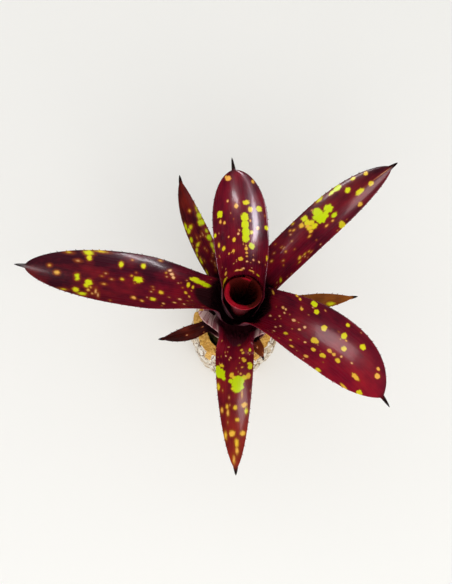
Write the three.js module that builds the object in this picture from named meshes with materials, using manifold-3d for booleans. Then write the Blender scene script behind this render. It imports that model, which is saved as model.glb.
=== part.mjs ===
// A young spotted neoregelia growing in a hollowed log of cork bark.
//
// Millimetres, +Z up. The origin is the centre of the log's flat foot. The eleven leaves sit in
// a spiral on a short stem, the stem is held by a plug of sphagnum moss, and the plug fills the
// lower part of the log's hollow.

import * as THREE from 'three';
import { mergeVertices } from 'three/addons/utils/BufferGeometryUtils.js';
import Module from 'manifold-3d';

const wasm = await Module();
wasm.setup();

// ---- Driving dimensions ------------------------------------------------------------------

const CORK = {
  radius: 32.5,        // outside of the bark at the rim, before its lumps
  height: 85,          // foot to rim
  rimWave: 2.0,        // how far the sawn rim wanders up and down
  lump: 1.5,           // height of the bark's broad lumps
  fissure: 1.9,        // depth of the upright cracks in the bark
  fissures: 9,         // number of upright cracks round the log
  footRound: 3.0,      // height of the worn edge round the foot
  footFlare: 4.0,      // how much more its radius is at the foot than at the rim
  belly: 3.0,          // how far it swells at half height
  hollowRadius: 24,    // inside of the hollow
  floor: 18,           // cork left under the hollow
  sides: 48,
};

const MOSS = {
  clearance: 0.35,     // between moss and cork, and between moss and stem
  shoulder: 64,        // height at which the pad starts to round over
  crown: 83,           // height of the pad beside the stem
  bump: 1.6,           // height of the tufts on top
};

const ROSETTE = {
  position: [3, 7, 80],
  lean: 4,             // degrees from upright
  leanToward: 58,      // degrees from +X
};

const STEM = {
  foot: -24,           // in the rosette's own heights, down in the moss
  footRadius: 5.5,
  seatGap: 0.3,        // between the stem and each leaf's base
  facetLoss: 0.935,    // a base of eight flats comes this much nearer to the axis at mid-flat
  tip: 35,
  tipRadius: 2.2,
  sides: 24,
};

const BLADE = {
  midThickness: 1.25,
  marginThickness: 0.7,
  midribSteps: 400,
  sheathRows: 10,
  claspFrom: 0.45,     // share of a sheath at which it has its full width
  narrowFrom: 0.5,     // share of a sheath at which it starts to narrow to the neck
  baseRise: 3,         // height over which a sheath leaves the stem
  slantFrom: 0.3,      // share of a rolled sheath at which its back starts to drop
  lipStart: 0.85,      // share of a sheath at which its mouth starts to flare
  backLip: 0.25,       // the flare at the back of a mouth, as a share of the front's
  toothLength: 1.6,    // along the margin
  toothHeight: 1.2,
  toothLean: 0.7,      // how far each tooth points toward the tip
};

// One entry for each leaf, youngest first. seat is [radius, height] where the base meets the
// stem and neck is [radius, height] where the sheath turns into the blade, both in the rosette's
// own cylinder coordinates. wrap is how far the base reaches round the stem to either side, in
// degrees, nest is the sheath's radius where it clasps the younger leaves, and bulge how far it
// swells beyond that. heading and veer are degrees in plan, pitch is degrees above level at
// neck, middle and tip, and channel is the half-angle of the blade's gutter at neck, belly and
// tip. Widths are half-widths measured over the leaf, from midrib to margin. bellyAt is the
// widest place as a share of the blade's length, taper the power of its curve and the power of
// its point, spike the dry tip, toothPitch the distance between teeth and strips the number of
// flats across the leaf.
// The front leaf's sheath has papery wings. cup is the half-width that stays a gutter, wing is
// how far each wing stands out past the plain sheath, from the share wingFrom of it to the neck
// and most at wingAt, wingFall the power of its slope to the neck, and wingBend the radius over
// which it bends out to level.
// The heart leaf has no open blade yet. It is rolled up by so many degrees to either side, and
// coil is how far its two margins are moved in and out to pass each other. Its mouth flares by
// lip, and slant is how much lower the mouth is at the back.
const LEAVES = [
  { name: 'leaf_heart', rolled: 190, coil: 0.9, heading: 250, seat: [4.8, 32], wrap: 140,
    nest: 8.5, bulge: 0.5, neck: [12.3, 96], pitch: [70, 70, 70], lip: 3.6, slant: 12, strips: 22 },
  { name: 'leaf_top', heading: 96.2, veer: 5, seat: [5.6, 29], wrap: 150, sheathWidth: 36,
    nest: 13.6, bulge: 3, neck: [15.6, 85], neckWidth: 26.5, bellyWidth: 21.9, bellyAt: 0.5,
    length: 100.5, pitch: [70, 48, 30], channel: [97, 45, 50], taper: [2.5, 0.5], spike: 9,
    spikeWidth: 1.4, toothPitch: 10, strips: 12 },
  { name: 'leaf_right', heading: -33.7, veer: -22, seat: [6.2, 26], wrap: 150, sheathWidth: 21,
    nest: 15.4, bulge: 3, neck: [25, 72], neckWidth: 22, bellyWidth: 24.1, bellyAt: 0.45,
    length: 125, pitch: [48, 22, -8], channel: [75, 40, 30], taper: [2.8, 0.8], spike: 9,
    spikeWidth: 1.4, toothPitch: 11, strips: 8 },
  { name: 'leaf_left', heading: 178.5, veer: -8.5, seat: [6.8, 23.5], wrap: 150,
    sheathWidth: 20, nest: 17.2, bulge: 3, neck: [27, 70], neckWidth: 17, bellyWidth: 21.2,
    bellyAt: 0.4, length: 152, pitch: [44, 16, -4], channel: [75, 40, 30], taper: [2.1, 0.62],
    spike: 8, spikeWidth: 1.4, toothPitch: 11, strips: 8 },
  { name: 'leaf_upper_right', heading: 41, veer: -8, seat: [7.4, 21], wrap: 150,
    sheathWidth: 30, nest: 19.2, bulge: 3, neck: [28, 66], neckWidth: 18.2, bellyWidth: 15.4,
    bellyAt: 0.44, length: 134, pitch: [48, 30, 10], channel: [75, 40, 40], taper: [2.3, 0.7],
    spike: 6, spikeWidth: 1.4, toothPitch: 11, strips: 8 },
  { name: 'leaf_front', heading: 262.5, veer: 9.7, veerPower: 0.35, seat: [7.9, 19],
    wrap: 150, sheathWidth: 24, nest: 21, bulge: 3, neck: [37, 55], neckWidth: 17.5,
    bellyWidth: 15.3, bellyAt: 0.1, length: 103, pitch: [35.5, 9.7, -14],
    channel: [75, 35, 35], taper: [1.7, 0.66], foldStart: 0.25, cup: 14, wing: 18.5,
    wingBend: 2.5, spike: 5, spikeWidth: 1.4, toothPitch: 10, strips: 14 },
  { name: 'leaf_upper_left', heading: 128.6, veer: -32.4, seat: [8.2, 17], wrap: 150,
    sheathWidth: 26, nest: 23, bulge: 3, neck: [30, 50], neckWidth: 10.5, bellyWidth: 10.5,
    bellyAt: 0.38, length: 88.5, pitch: [50, 34, 25], channel: [70, 45, 45],
    taper: [2.0, 0.75], roll: 20, spike: 5, spikeWidth: 1.2, toothPitch: 10, strips: 8 },
  { name: 'leaf_small_right', heading: 1.5, veer: 10, seat: [8.4, 15], wrap: 80,
    sheathWidth: 22, nest: 25, bulge: 2, neck: [33, 38.5], neckWidth: 7, bellyWidth: 6.5,
    bellyAt: 0.45, length: 62, pitch: [25, 6, 0], channel: [55, 32, 35], taper: [1.7, 0.9],
    spike: 4, spikeWidth: 1.0, toothPitch: 9, strips: 6 },
  { name: 'leaf_small_left', heading: 209, veer: -24, veerPower: 0.8, seat: [8.5, 13],
    wrap: 80, sheathWidth: 20, nest: 25.4, bulge: 2, neck: [33, 30], neckWidth: 5.5,
    bellyWidth: 6, bellyAt: 0.3, length: 38, pitch: [15, 2, 0], channel: [55, 32, 35],
    taper: [1.8, 0.9], spike: 3, spikeWidth: 1.0, toothPitch: 9, strips: 6 },
  { name: 'leaf_small_back', heading: 72, seat: [8.6, 11], wrap: 60, sheathWidth: 18,
    nest: 27, bulge: 2, neck: [32, 28], neckWidth: 5, bellyWidth: 5, bellyAt: 0.3,
    length: 30, pitch: [15, 2, 0], channel: [55, 32, 35], taper: [1.8, 0.9], spike: 3,
    spikeWidth: 1.0, toothPitch: 9, strips: 6 },
  { name: 'leaf_small_front', heading: 296, seat: [8.7, 9], wrap: 50, sheathWidth: 16,
    nest: 27, bulge: 2, neck: [30, 26], neckWidth: 4.5, bellyWidth: 4.2, bellyAt: 0.3,
    length: 16, pitch: [10, -10, -20], channel: [55, 32, 35], taper: [1.8, 0.9], spike: 3,
    spikeWidth: 1.0, toothPitch: 5, strips: 6 },
];

const MATERIALS = {
  cork: new THREE.MeshStandardMaterial({ color: 0xb9925a, roughness: 0.92, metalness: 0 }),
  moss: new THREE.MeshStandardMaterial({ color: 0x4d5227, roughness: 1.0, metalness: 0 }),
  stem: new THREE.MeshStandardMaterial({ color: 0x5b4a30, roughness: 0.85, metalness: 0 }),
  leaf: new THREE.MeshStandardMaterial({ color: 0x6c1020, roughness: 0.35, metalness: 0 }),
  oldLeaf: new THREE.MeshStandardMaterial({ color: 0x59301c, roughness: 0.5, metalness: 0 }),
};

// ---- Small helpers -----------------------------------------------------------------------

const radians = THREE.MathUtils.degToRad;

function smooth(from, to, x) {
  return THREE.MathUtils.smoothstep(x, from, to);
}

function mix(a, b, part) {
  return a * (1 - part) + b * part;
}

function meshFromTriangles(positions, indices) {
  const geometry = new THREE.BufferGeometry();
  geometry.setAttribute('position', new THREE.Float32BufferAttribute(positions.flat(), 3));
  geometry.setIndex(indices);
  geometry.computeVertexNormals();
  return geometry;
}

// A closed solid from a stack of rings, each a list of [x, y, z] that runs anticlockwise seen
// from above. The first ring is closed by a flat face that looks down, the last by one that
// looks up.
function solidFromRings(rings) {
  const count = rings[0].length;
  const indices = [];
  for (let ring = 0; ring < rings.length - 1; ring++) {
    for (let side = 0; side < count; side++) {
      const next = (side + 1) % count;
      const a = ring * count + side;
      const b = ring * count + next;
      const c = (ring + 1) * count + next;
      const d = (ring + 1) * count + side;
      indices.push(a, b, c, a, c, d);
    }
  }
  const capOf = (ring) => {
    const outline = ring.map(([x, y]) => new THREE.Vector2(x, y));
    return THREE.ShapeUtils.triangulateShape(outline, []);
  };
  const last = (rings.length - 1) * count;
  for (const [a, b, c] of capOf(rings[0])) indices.push(a, c, b);
  for (const [a, b, c] of capOf(rings.at(-1))) indices.push(last + a, last + b, last + c);
  return meshFromTriangles(rings.flat(), indices);
}

function ringOf(sides, pointAt) {
  return Array.from({ length: sides }, (_, side) => pointAt((side / sides) * 2 * Math.PI));
}

function toManifold(geometry) {
  const bare = geometry.clone();
  bare.deleteAttribute('normal');
  bare.deleteAttribute('uv');
  const merged = mergeVertices(bare);
  return new wasm.Manifold(new wasm.Mesh({
    numProp: 3,
    vertProperties: merged.attributes.position.array,
    triVerts: Uint32Array.from(merged.index.array),
  }));
}

function fromManifold(manifold) {
  const { vertProperties, triVerts } = manifold.getMesh();
  const geometry = new THREE.BufferGeometry();
  geometry.setAttribute('position', new THREE.BufferAttribute(vertProperties, 3));
  geometry.setIndex(new THREE.BufferAttribute(triVerts, 1));
  geometry.computeVertexNormals();
  return geometry;
}

// ---- Cork log ----------------------------------------------------------------------------

// The bark's surface: broad lumps that drift up the log, and upright cracks between its plates.
function barkRadius(angle, height) {
  const lumps = Math.sin(3 * angle + height * 0.05) + Math.sin(5 * angle - height * 0.09 + 1.3);
  const crackAngle = CORK.fissures * angle + 1.1 * Math.sin(height * 0.08);
  const crack = Math.pow(0.5 + 0.5 * Math.cos(crackAngle), 6);
  const worn = CORK.footRound * 0.5 * (1 - smooth(0, CORK.footRound * 2, height));
  const rise = height / CORK.height;
  const swell = CORK.footFlare * (1 - rise) + CORK.belly * Math.sin(Math.PI * rise);
  return CORK.radius + swell + 0.5 * CORK.lump * lumps - CORK.fissure * crack - worn;
}

function rimHeight(angle) {
  const wave = Math.sin(2 * angle + 0.6) + 0.6 * Math.sin(5 * angle + 2.0);
  return CORK.height + 0.6 * CORK.rimWave * wave;
}

function hollowRadius(angle) {
  return CORK.hollowRadius + 0.5 * Math.sin(3 * angle + 1) + 0.3 * Math.sin(7 * angle);
}

function corkHolder() {
  const outerRows = [0, 0.04, 0.14, 0.3, 0.46, 0.62, 0.78, 0.92, 1];
  const innerRows = [1, 0.66, 0.33];
  const polar = (angle, radius, height) => [
    radius * Math.cos(angle),
    radius * Math.sin(angle),
    height,
  ];
  const rings = outerRows.map((row) => ringOf(CORK.sides, (angle) => {
    const height = row * rimHeight(angle);
    return polar(angle, barkRadius(angle, height), height);
  }));
  const rimMiddle = ringOf(CORK.sides, (angle) => {
    const radius = (barkRadius(angle, CORK.height) + hollowRadius(angle)) / 2;
    return polar(angle, radius, rimHeight(angle) + 0.4 * Math.sin(11 * angle));
  });
  rings.push(rimMiddle);
  for (const row of innerRows) {
    rings.push(ringOf(CORK.sides, (angle) => (
      polar(angle, hollowRadius(angle), mix(CORK.floor, rimHeight(angle), row))
    )));
  }
  rings.push(ringOf(CORK.sides, (angle) => polar(angle, hollowRadius(angle), CORK.floor)));
  return solidFromRings(rings);
}

// ---- Stem and moss -----------------------------------------------------------------------

// The stem steps in at each leaf's base, so that every leaf is seated on it with the same gap.
function stemProfile(growth = 0) {
  const seats = LEAVES.map(({ seat: [radius, height] }) => (
    [radius * STEM.facetLoss - STEM.seatGap, height]
  ));
  const profile = [[STEM.footRadius, STEM.foot], ...seats.reverse(), [STEM.tipRadius, STEM.tip]];
  return profile.map(([radius, height], row) => (
    [radius + growth, row === 0 ? height - growth : height]
  ));
}

function stemSolid(growth = 0) {
  return solidFromRings(stemProfile(growth).map(([radius, height]) => (
    ringOf(STEM.sides, (angle) => [radius * Math.cos(angle), radius * Math.sin(angle), height])
  )));
}

function mossPlug(rosetteMatrix) {
  const wallRows = [CORK.floor + MOSS.clearance, 40, MOSS.shoulder];
  const topRows = [0.85, 0.6, 0.35];
  const wall = wallRows.map((height) => ringOf(CORK.sides, (angle) => {
    const radius = hollowRadius(angle) - MOSS.clearance;
    return [radius * Math.cos(angle), radius * Math.sin(angle), height];
  }));
  const top = topRows.map((row) => ringOf(CORK.sides, (angle) => {
    const radius = (hollowRadius(angle) - MOSS.clearance) * row;
    const tuft = Math.sin(5 * angle + 9 * row) + Math.sin(8 * angle - 14 * row);
    const height = mix(MOSS.crown, MOSS.shoulder, row * row) + 0.5 * MOSS.bump * tuft;
    return [radius * Math.cos(angle), radius * Math.sin(angle), height];
  }));
  const plug = toManifold(solidFromRings([...wall, ...top]));
  const hole = stemSolid(MOSS.clearance).applyMatrix4(rosetteMatrix);
  return fromManifold(plug.subtract(toManifold(hole)));
}

// ---- Leaves ------------------------------------------------------------------------------

// The leaf's surface. Its sheath is a patch of a turned surface round the stem's axis, so that
// nested sheaths never cross. Its blade is a gutter of circular section that follows a midrib,
// and the last part of the sheath blends from the first form into the second.
class StrapLeaf {
  constructor(size) {
    const plain = {
      veer: 0, veerPower: 1.5, roll: 0, foldStart: 0.7,
      cup: Infinity, wing: 0, wingFrom: 0.42, wingAt: 0.66, wingFall: 1.8, wingBend: 0,
      rolled: 0, coil: 0, lip: 0, slant: 0,
    };
    Object.assign(this, plain, size);
    if (!this.rolled) this.midrib = this.traceMidrib(BLADE.midribSteps);
  }

  // Degrees above level, through its values at neck, middle and tip.
  pitchAt(u) {
    const [neck, middle, tip] = this.pitch;
    return radians(neck * (1 - u) * (1 - 2 * u) + middle * 4 * u * (1 - u) + tip * u * (2 * u - 1));
  }

  headingAt(u) {
    return radians(this.heading + this.veer * Math.pow(u, this.veerPower));
  }

  alongAt(u) {
    const pitch = this.pitchAt(u);
    const heading = this.headingAt(u);
    return new THREE.Vector3(
      Math.cos(pitch) * Math.cos(heading),
      Math.cos(pitch) * Math.sin(heading),
      Math.sin(pitch),
    );
  }

  // Points at equal steps along the midrib, from neck to tip.
  traceMidrib(steps) {
    const [radius, height] = this.neck;
    const heading = radians(this.heading);
    const point = new THREE.Vector3(radius * Math.cos(heading), radius * Math.sin(heading), height);
    const points = [point.clone()];
    for (let step = 0; step < steps; step++) {
      point.addScaledVector(this.alongAt((step + 0.5) / steps), this.length / steps);
      points.push(point.clone());
    }
    return points;
  }

  midribAt(u) {
    const place = THREE.MathUtils.clamp(u, 0, 1) * (this.midrib.length - 1);
    const before = Math.min(Math.floor(place), this.midrib.length - 2);
    return this.midrib[before].clone().lerp(this.midrib[before + 1], place - before);
  }

  // [radius, height] along the sheath, from the seat at t = 0 to the neck at t = 1.
  sheathCurve() {
    const [seatRadius, seatHeight] = this.seat;
    const [neckRadius, neckHeight] = this.neck;
    const pitch = this.pitchAt(0);
    const handle = Math.max((neckRadius - this.nest - 1) / Math.cos(pitch), 1);
    return new THREE.CubicBezierCurve(
      new THREE.Vector2(seatRadius, seatHeight),
      new THREE.Vector2(this.nest + this.bulge, seatHeight + BLADE.baseRise),
      new THREE.Vector2(
        neckRadius - handle * Math.cos(pitch),
        neckHeight - handle * Math.sin(pitch),
      ),
      new THREE.Vector2(neckRadius, neckHeight),
    );
  }

  // How far the mouth flares past the sheath's curve.
  lipAt(t) {
    const rise = Math.max((t - BLADE.lipStart) / (1 - BLADE.lipStart), 0);
    return this.lip * rise * rise;
  }

  // Pitch of the sheath at t, with the flare of its mouth.
  sheathPitch(curve, t) {
    const step = 0.001;
    const [from, to] = [Math.max(t - step, 0), Math.min(t + step, 1)];
    const [before, after] = [curve.getPoint(from), curve.getPoint(to)];
    return Math.atan2(after.y - before.y, after.x - before.x + this.lipAt(to) - this.lipAt(from));
  }

  sheathHalfWidth(t, radius) {
    const clasped = smooth(0, BLADE.claspFrom, t);
    if (this.rolled) return radius * radians(mix(this.wrap, this.rolled, clasped));
    const base = this.seat[0] * radians(this.wrap);
    const clasp = mix(base, this.sheathWidth, clasped);
    const opening = Math.max((t - this.wingFrom) / (this.wingAt - this.wingFrom), 0);
    const closing = Math.pow((1 - t) / (1 - this.wingAt), this.wingFall);
    const wing = this.wing * Math.min(opening, closing);
    return mix(clasp, this.neckWidth, smooth(BLADE.narrowFrom, 1, t)) + wing;
  }

  bladeHalfWidth(u) {
    if (u < this.bellyAt) return mix(this.neckWidth, this.bellyWidth, smooth(0, this.bellyAt, u));
    const [roundness, sharpness] = this.taper;
    const spikeShare = this.spike / this.length;
    const x = Math.min((u - this.bellyAt) / (1 - spikeShare - this.bellyAt), 1);
    const body = this.bellyWidth * Math.pow(1 - Math.pow(x, roundness), sharpness);
    const spike = this.spikeWidth * Math.pow(Math.max(1 - u, 0) / spikeShare, 0.8);
    const nearTip = u > 1 - 3 * spikeShare;
    return nearTip ? Math.max(body, Math.min(spike, 1.2 * this.spikeWidth)) : body;
  }

  channelAt(u) {
    const [neck, belly, tip] = this.channel;
    if (u < this.bellyAt) return radians(mix(neck, belly, smooth(0, this.bellyAt, u)));
    return radians(mix(belly, tip, smooth(this.bellyAt, 1, u)));
  }

  // Surface point and upper-face normal at v across the blade, from -1 to 1. What is wider than
  // the cup bends out to level and runs on flat.
  gutterPoint(middle, pitch, heading, halfWidth, cupWidth, channel, roll, v) {
    const along = new THREE.Vector3(
      Math.cos(pitch) * Math.cos(heading),
      Math.cos(pitch) * Math.sin(heading),
      Math.sin(pitch),
    );
    const across = new THREE.Vector3(-Math.sin(heading), Math.cos(heading), 0);
    across.applyAxisAngle(along, roll);
    const up = along.clone().cross(across);
    const side = Math.sign(v);
    const arc = Math.abs(v) * halfWidth;
    const curveRadius = cupWidth / channel;
    const cup = Math.min(arc, cupWidth) / curveRadius;
    const wing = Math.max(arc - cupWidth, 0);
    const bend = this.wingBend > 0 ? Math.min(wing / this.wingBend, channel) : 0;
    const turn = cup - bend;
    const out = curveRadius * Math.sin(cup) + this.wingBend * (Math.sin(cup) - Math.sin(turn))
      + wing - bend * this.wingBend;
    const rise = curveRadius * (1 - Math.cos(cup))
      + this.wingBend * (Math.cos(turn) - Math.cos(cup));
    const point = middle.clone().addScaledVector(across, side * out).addScaledVector(up, rise);
    const normal = up.multiplyScalar(Math.cos(turn))
      .addScaledVector(across, -side * Math.sin(turn));
    return { point, normal };
  }

  bladePoint(u, v) {
    const roll = radians(this.roll) * smooth(0, 0.5, u);
    const halfWidth = this.bladeHalfWidth(u);
    const cupWidth = mix(Math.min(this.cup, halfWidth), halfWidth, smooth(0, this.bellyAt, u));
    return this.gutterPoint(this.midribAt(u), this.pitchAt(u), this.headingAt(u), halfWidth,
      cupWidth, this.channelAt(u), roll, v);
  }

  sheathPoint(t, v) {
    const curve = this.sheathCurve();
    const { x: radius, y: height } = curve.getPoint(t);
    const pitch = this.sheathPitch(curve, t);
    const heading = radians(this.heading);
    const halfWidth = this.sheathHalfWidth(t, radius);
    const wrap = v * halfWidth / radius;
    const behind = (1 - Math.cos(wrap)) / 2;
    const flare = this.lipAt(t) * mix(1, BLADE.backLip, behind);
    const coil = this.coil * smooth(0, BLADE.claspFrom, t) * v;
    const drop = this.slant * smooth(BLADE.slantFrom, 1, t) * behind;
    const outward = new THREE.Vector3(Math.cos(heading + wrap), Math.sin(heading + wrap), 0);
    const turned = outward.clone().multiplyScalar(radius + flare + coil).setZ(height - drop);
    const turnedNormal = outward.clone().multiplyScalar(-Math.sin(pitch)).setZ(Math.cos(pitch));
    if (this.rolled) return { point: turned, normal: turnedNormal };
    const middle = new THREE.Vector3(radius * Math.cos(heading), radius * Math.sin(heading), height);
    const folded = this.gutterPoint(middle, pitch, heading, halfWidth,
      Math.min(this.cup, halfWidth), this.channelAt(0), 0, v);
    const share = smooth(this.foldStart, 1, t);
    return {
      point: turned.lerp(folded.point, share),
      normal: turnedNormal.lerp(folded.normal, share).normalize(),
    };
  }

  // Rows along the leaf from seat to tip. A row that starts a tooth is marked; the spike's last
  // point is left to the caller. A rolled leaf ends with its sheath.
  rows() {
    const rows = [];
    for (let row = 0; row <= BLADE.sheathRows; row++) {
      const t = row / BLADE.sheathRows;
      rows.push({ at: (v) => this.sheathPoint(t, v), tooth: false });
    }
    if (this.rolled) return rows;
    const toothed = this.length - this.spike;
    const teeth = Math.round(toothed / this.toothPitch);
    const addBladeRow = (distance, tooth) => {
      rows.push({ at: (v) => this.bladePoint(distance / this.length, v), tooth });
    };
    for (let tooth = 0; tooth < teeth; tooth++) {
      const start = (tooth + 0.5) * toothed / teeth - BLADE.toothLength / 2;
      addBladeRow(start, true);
      addBladeRow(start + BLADE.toothLength, false);
    }
    addBladeRow(toothed, false);
    addBladeRow(toothed + this.spike * 0.5, false);
    return rows;
  }
}

// The leaf as a closed solid: upper and lower faces split into the same triangles, margins with
// a pyramid for each tooth, a cut base, and one point at the tip or, rolled, a bare rim.
function leafSolid(size) {
  const leaf = new StrapLeaf(size);
  const rows = leaf.rows();
  const columns = size.strips + 1;
  const positions = [];
  const indices = [];
  for (const row of rows) {
    for (let column = 0; column < columns; column++) {
      const v = (2 * column) / size.strips - 1;
      const { point, normal } = row.at(v);
      const half = mix(BLADE.midThickness, BLADE.marginThickness, v * v) / 2;
      positions.push(point.clone().addScaledVector(normal, half).toArray());
      positions.push(point.clone().addScaledVector(normal, -half).toArray());
    }
  }
  const upper = (row, column) => 2 * (row * columns + column);
  const lower = (row, column) => upper(row, column) + 1;
  const quad = (a, b, c, d) => indices.push(a, b, c, a, c, d);
  const last = size.strips;

  const margin = (row, corners, outward) => {
    if (!rows[row].tooth) {
      quad(...corners);
      return;
    }
    const points = corners.map((corner) => new THREE.Vector3(...positions[corner]));
    const along = points[3].clone().sub(points[0]).normalize();
    const apex = points.reduce((sum, point) => sum.add(point), new THREE.Vector3())
      .divideScalar(4)
      .addScaledVector(outward, BLADE.toothHeight)
      .addScaledVector(along, BLADE.toothLean);
    positions.push(apex.toArray());
    const tip = positions.length - 1;
    corners.forEach((corner, side) => indices.push(corner, corners[(side + 1) % 4], tip));
  };
  const outwardAt = (row, column, inner) => {
    const edge = new THREE.Vector3(...positions[upper(row, column)]);
    return edge.sub(new THREE.Vector3(...positions[upper(row, inner)])).normalize();
  };

  for (let row = 0; row < rows.length - 1; row++) {
    for (let column = 0; column < last; column++) {
      quad(upper(row, column), upper(row + 1, column), upper(row + 1, column + 1),
        upper(row, column + 1));
      quad(lower(row, column), lower(row, column + 1), lower(row + 1, column + 1),
        lower(row + 1, column));
    }
    const near = [upper(row, 0), lower(row, 0), lower(row + 1, 0), upper(row + 1, 0)];
    margin(row, near, outwardAt(row, 0, 1));
    const far = [lower(row, last), upper(row, last), upper(row + 1, last), lower(row + 1, last)];
    margin(row, far, outwardAt(row, last, last - 1));
  }
  const end = rows.length - 1;
  for (let column = 0; column < last; column++) {
    quad(upper(0, column), upper(0, column + 1), lower(0, column + 1), lower(0, column));
    if (leaf.rolled) {
      quad(upper(end, column), lower(end, column), lower(end, column + 1), upper(end, column + 1));
    }
  }
  if (leaf.rolled) return meshFromTriangles(positions, indices);

  positions.push(leaf.midribAt(1).toArray());
  const tip = positions.length - 1;
  for (let column = 0; column < last; column++) {
    indices.push(upper(end, column), tip, upper(end, column + 1));
    indices.push(lower(end, column), lower(end, column + 1), tip);
  }
  indices.push(upper(end, 0), lower(end, 0), tip);
  indices.push(lower(end, last), upper(end, last), tip);
  return meshFromTriangles(positions, indices);
}

// ---- Assembly ----------------------------------------------------------------------------

function named(name, geometry, material) {
  const mesh = new THREE.Mesh(geometry, material);
  mesh.name = name;
  return mesh;
}

const rosette = new THREE.Group();
rosette.position.set(...ROSETTE.position);
const leanAxis = new THREE.Vector3(
  -Math.sin(radians(ROSETTE.leanToward)),
  Math.cos(radians(ROSETTE.leanToward)),
  0,
);
rosette.quaternion.setFromAxisAngle(leanAxis, radians(ROSETTE.lean));
rosette.updateMatrix();

rosette.add(named('stem', stemSolid(), MATERIALS.stem));
for (const size of LEAVES) {
  const material = size.name.includes('small') ? MATERIALS.oldLeaf : MATERIALS.leaf;
  rosette.add(named(size.name, leafSolid(size), material));
}

const plant = new THREE.Group();
plant.add(named('cork_holder', corkHolder(), MATERIALS.cork));
plant.add(named('moss_plug', mossPlug(rosette.matrix), MATERIALS.moss));
plant.add(rosette);

export default plant;
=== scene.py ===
"""A young spotted neoregelia that grows in a short hollowed log of cork bark.

The sections follow the order in which a grower puts the plant together: the log, the moss that
is packed into it, the stem that is set in the moss, then the leaves from the oldest outside to
the youngest in the middle. Sizes are millimetres, and meshes are made in metres.
"""

import math

import bpy
import numpy as np
from mathutils import Matrix, Vector


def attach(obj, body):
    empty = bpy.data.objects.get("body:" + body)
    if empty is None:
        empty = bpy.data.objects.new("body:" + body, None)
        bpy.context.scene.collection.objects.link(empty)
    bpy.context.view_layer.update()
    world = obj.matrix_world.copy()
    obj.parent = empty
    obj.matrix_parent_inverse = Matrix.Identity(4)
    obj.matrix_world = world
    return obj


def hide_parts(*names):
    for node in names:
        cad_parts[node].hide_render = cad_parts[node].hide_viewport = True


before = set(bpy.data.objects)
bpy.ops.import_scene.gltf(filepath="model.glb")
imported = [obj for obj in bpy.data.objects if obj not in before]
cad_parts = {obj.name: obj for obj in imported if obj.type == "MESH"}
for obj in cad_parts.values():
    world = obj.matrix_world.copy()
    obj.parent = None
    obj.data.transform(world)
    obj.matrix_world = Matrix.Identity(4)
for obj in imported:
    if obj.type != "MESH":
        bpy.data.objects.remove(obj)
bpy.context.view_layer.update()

MM = 0.001


# ---- Cork log ------------------------------------------------------------------------------
# A short length of cork oak bark with the wood gone from inside. It was sawn across at both
# ends, so its rim shows golden cork, while the outside keeps its cracked grey bark and painted
# shade darkens the hollow below the rim. It stands on its sawn foot.

CORK_RADIUS = 32.5
CORK_HEIGHT = 85
CORK_RIM_WAVE = 2.0
CORK_LUMP = 1.5
CORK_FISSURE = 1.9
CORK_FISSURES = 9
CORK_FOOT_ROUND = 3.0
CORK_FOOT_FLARE = 4.0
CORK_BELLY = 3.0
HOLLOW_RADIUS = 24
HOLLOW_FLOOR = 18
CORK_SIDES = 288
BARK_ROWS = 120
RIM_ROWS = 12
HOLLOW_ROWS = 34
RIM_CROWN = 0.8
SAWN_FADE = (2.5, 0.5)
BARK_FROM = (0.5, 3)
RIM_INTO_HOLLOW = (4, 1)
SHADE_BELOW_RIM = (1.5, 5)

# Where bark broke away under the rim: the angle, the width as an angle, and how far down.
CORK_CHIPS = ((4.02, 0.10, 24), (3.3, 0.2, 7), (0.35, 0.2, 9), (5.35, 0.14, 12),
              (1.9, 0.3, 8))
CHIP_DEPTH = 1.3


def smooth(start, end, x):
    part = np.clip((x - start) / (end - start), 0, 1)
    return part * part * (3 - 2 * part)


def mix(a, b, part):
    return a + (b - a) * part


def colour(code):
    """A web colour as the linear values that a shader takes."""
    values = [int(code[place:place + 2], 16) / 255 for place in (1, 3, 5)]
    return (*[v / 12.92 if v <= 0.04045 else ((v + 0.055) / 1.055) ** 2.4 for v in values], 1.0)


def bark_radius(angle, height):
    lumps = np.sin(3 * angle + 0.05 * height) + np.sin(5 * angle - 0.09 * height + 1.3)
    crack = (0.5 + 0.5 * np.cos(CORK_FISSURES * angle + 1.1 * np.sin(0.08 * height))) ** 6
    worn = 0.5 * CORK_FOOT_ROUND * (1 - smooth(0, 2 * CORK_FOOT_ROUND, height))
    rise = height / CORK_HEIGHT
    swell = CORK_FOOT_FLARE * (1 - rise) + CORK_BELLY * np.sin(np.pi * rise)
    return CORK_RADIUS + swell + 0.5 * CORK_LUMP * lumps - CORK_FISSURE * crack - worn


def rim_height(angle):
    wave = np.sin(2 * angle + 0.6) + 0.6 * np.sin(5 * angle + 2.0)
    return CORK_HEIGHT + 0.6 * CORK_RIM_WAVE * wave


def hollow_radius(angle):
    return HOLLOW_RADIUS + 0.5 * np.sin(3 * angle + 1) + 0.3 * np.sin(7 * angle)


def turned(angle, radius, height):
    """A ring of points round the upright axis."""
    height = np.broadcast_to(height, angle.shape)
    return np.stack([radius * np.cos(angle), radius * np.sin(angle), height], axis=-1)


def round_angles(sides):
    return np.linspace(0, 2 * np.pi, sides, endpoint=False)


def loft_faces(rows, sides):
    """Quads between rings that run anticlockwise seen from the end they are stacked towards."""
    row, side = np.meshgrid(np.arange(rows - 1), np.arange(sides), indexing="ij")
    beside = (side + 1) % sides
    corners = [row * sides + side, row * sides + beside,
               (row + 1) * sides + beside, (row + 1) * sides + side]
    return np.stack(corners, axis=-1).reshape(-1, 4).tolist()


def capped_loft(rows, sides):
    """The same quads, with one face across the first ring and one across the last."""
    first = list(range(sides))
    return [*loft_faces(rows, sides), first[::-1], [(rows - 1) * sides + k for k in first]]


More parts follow.
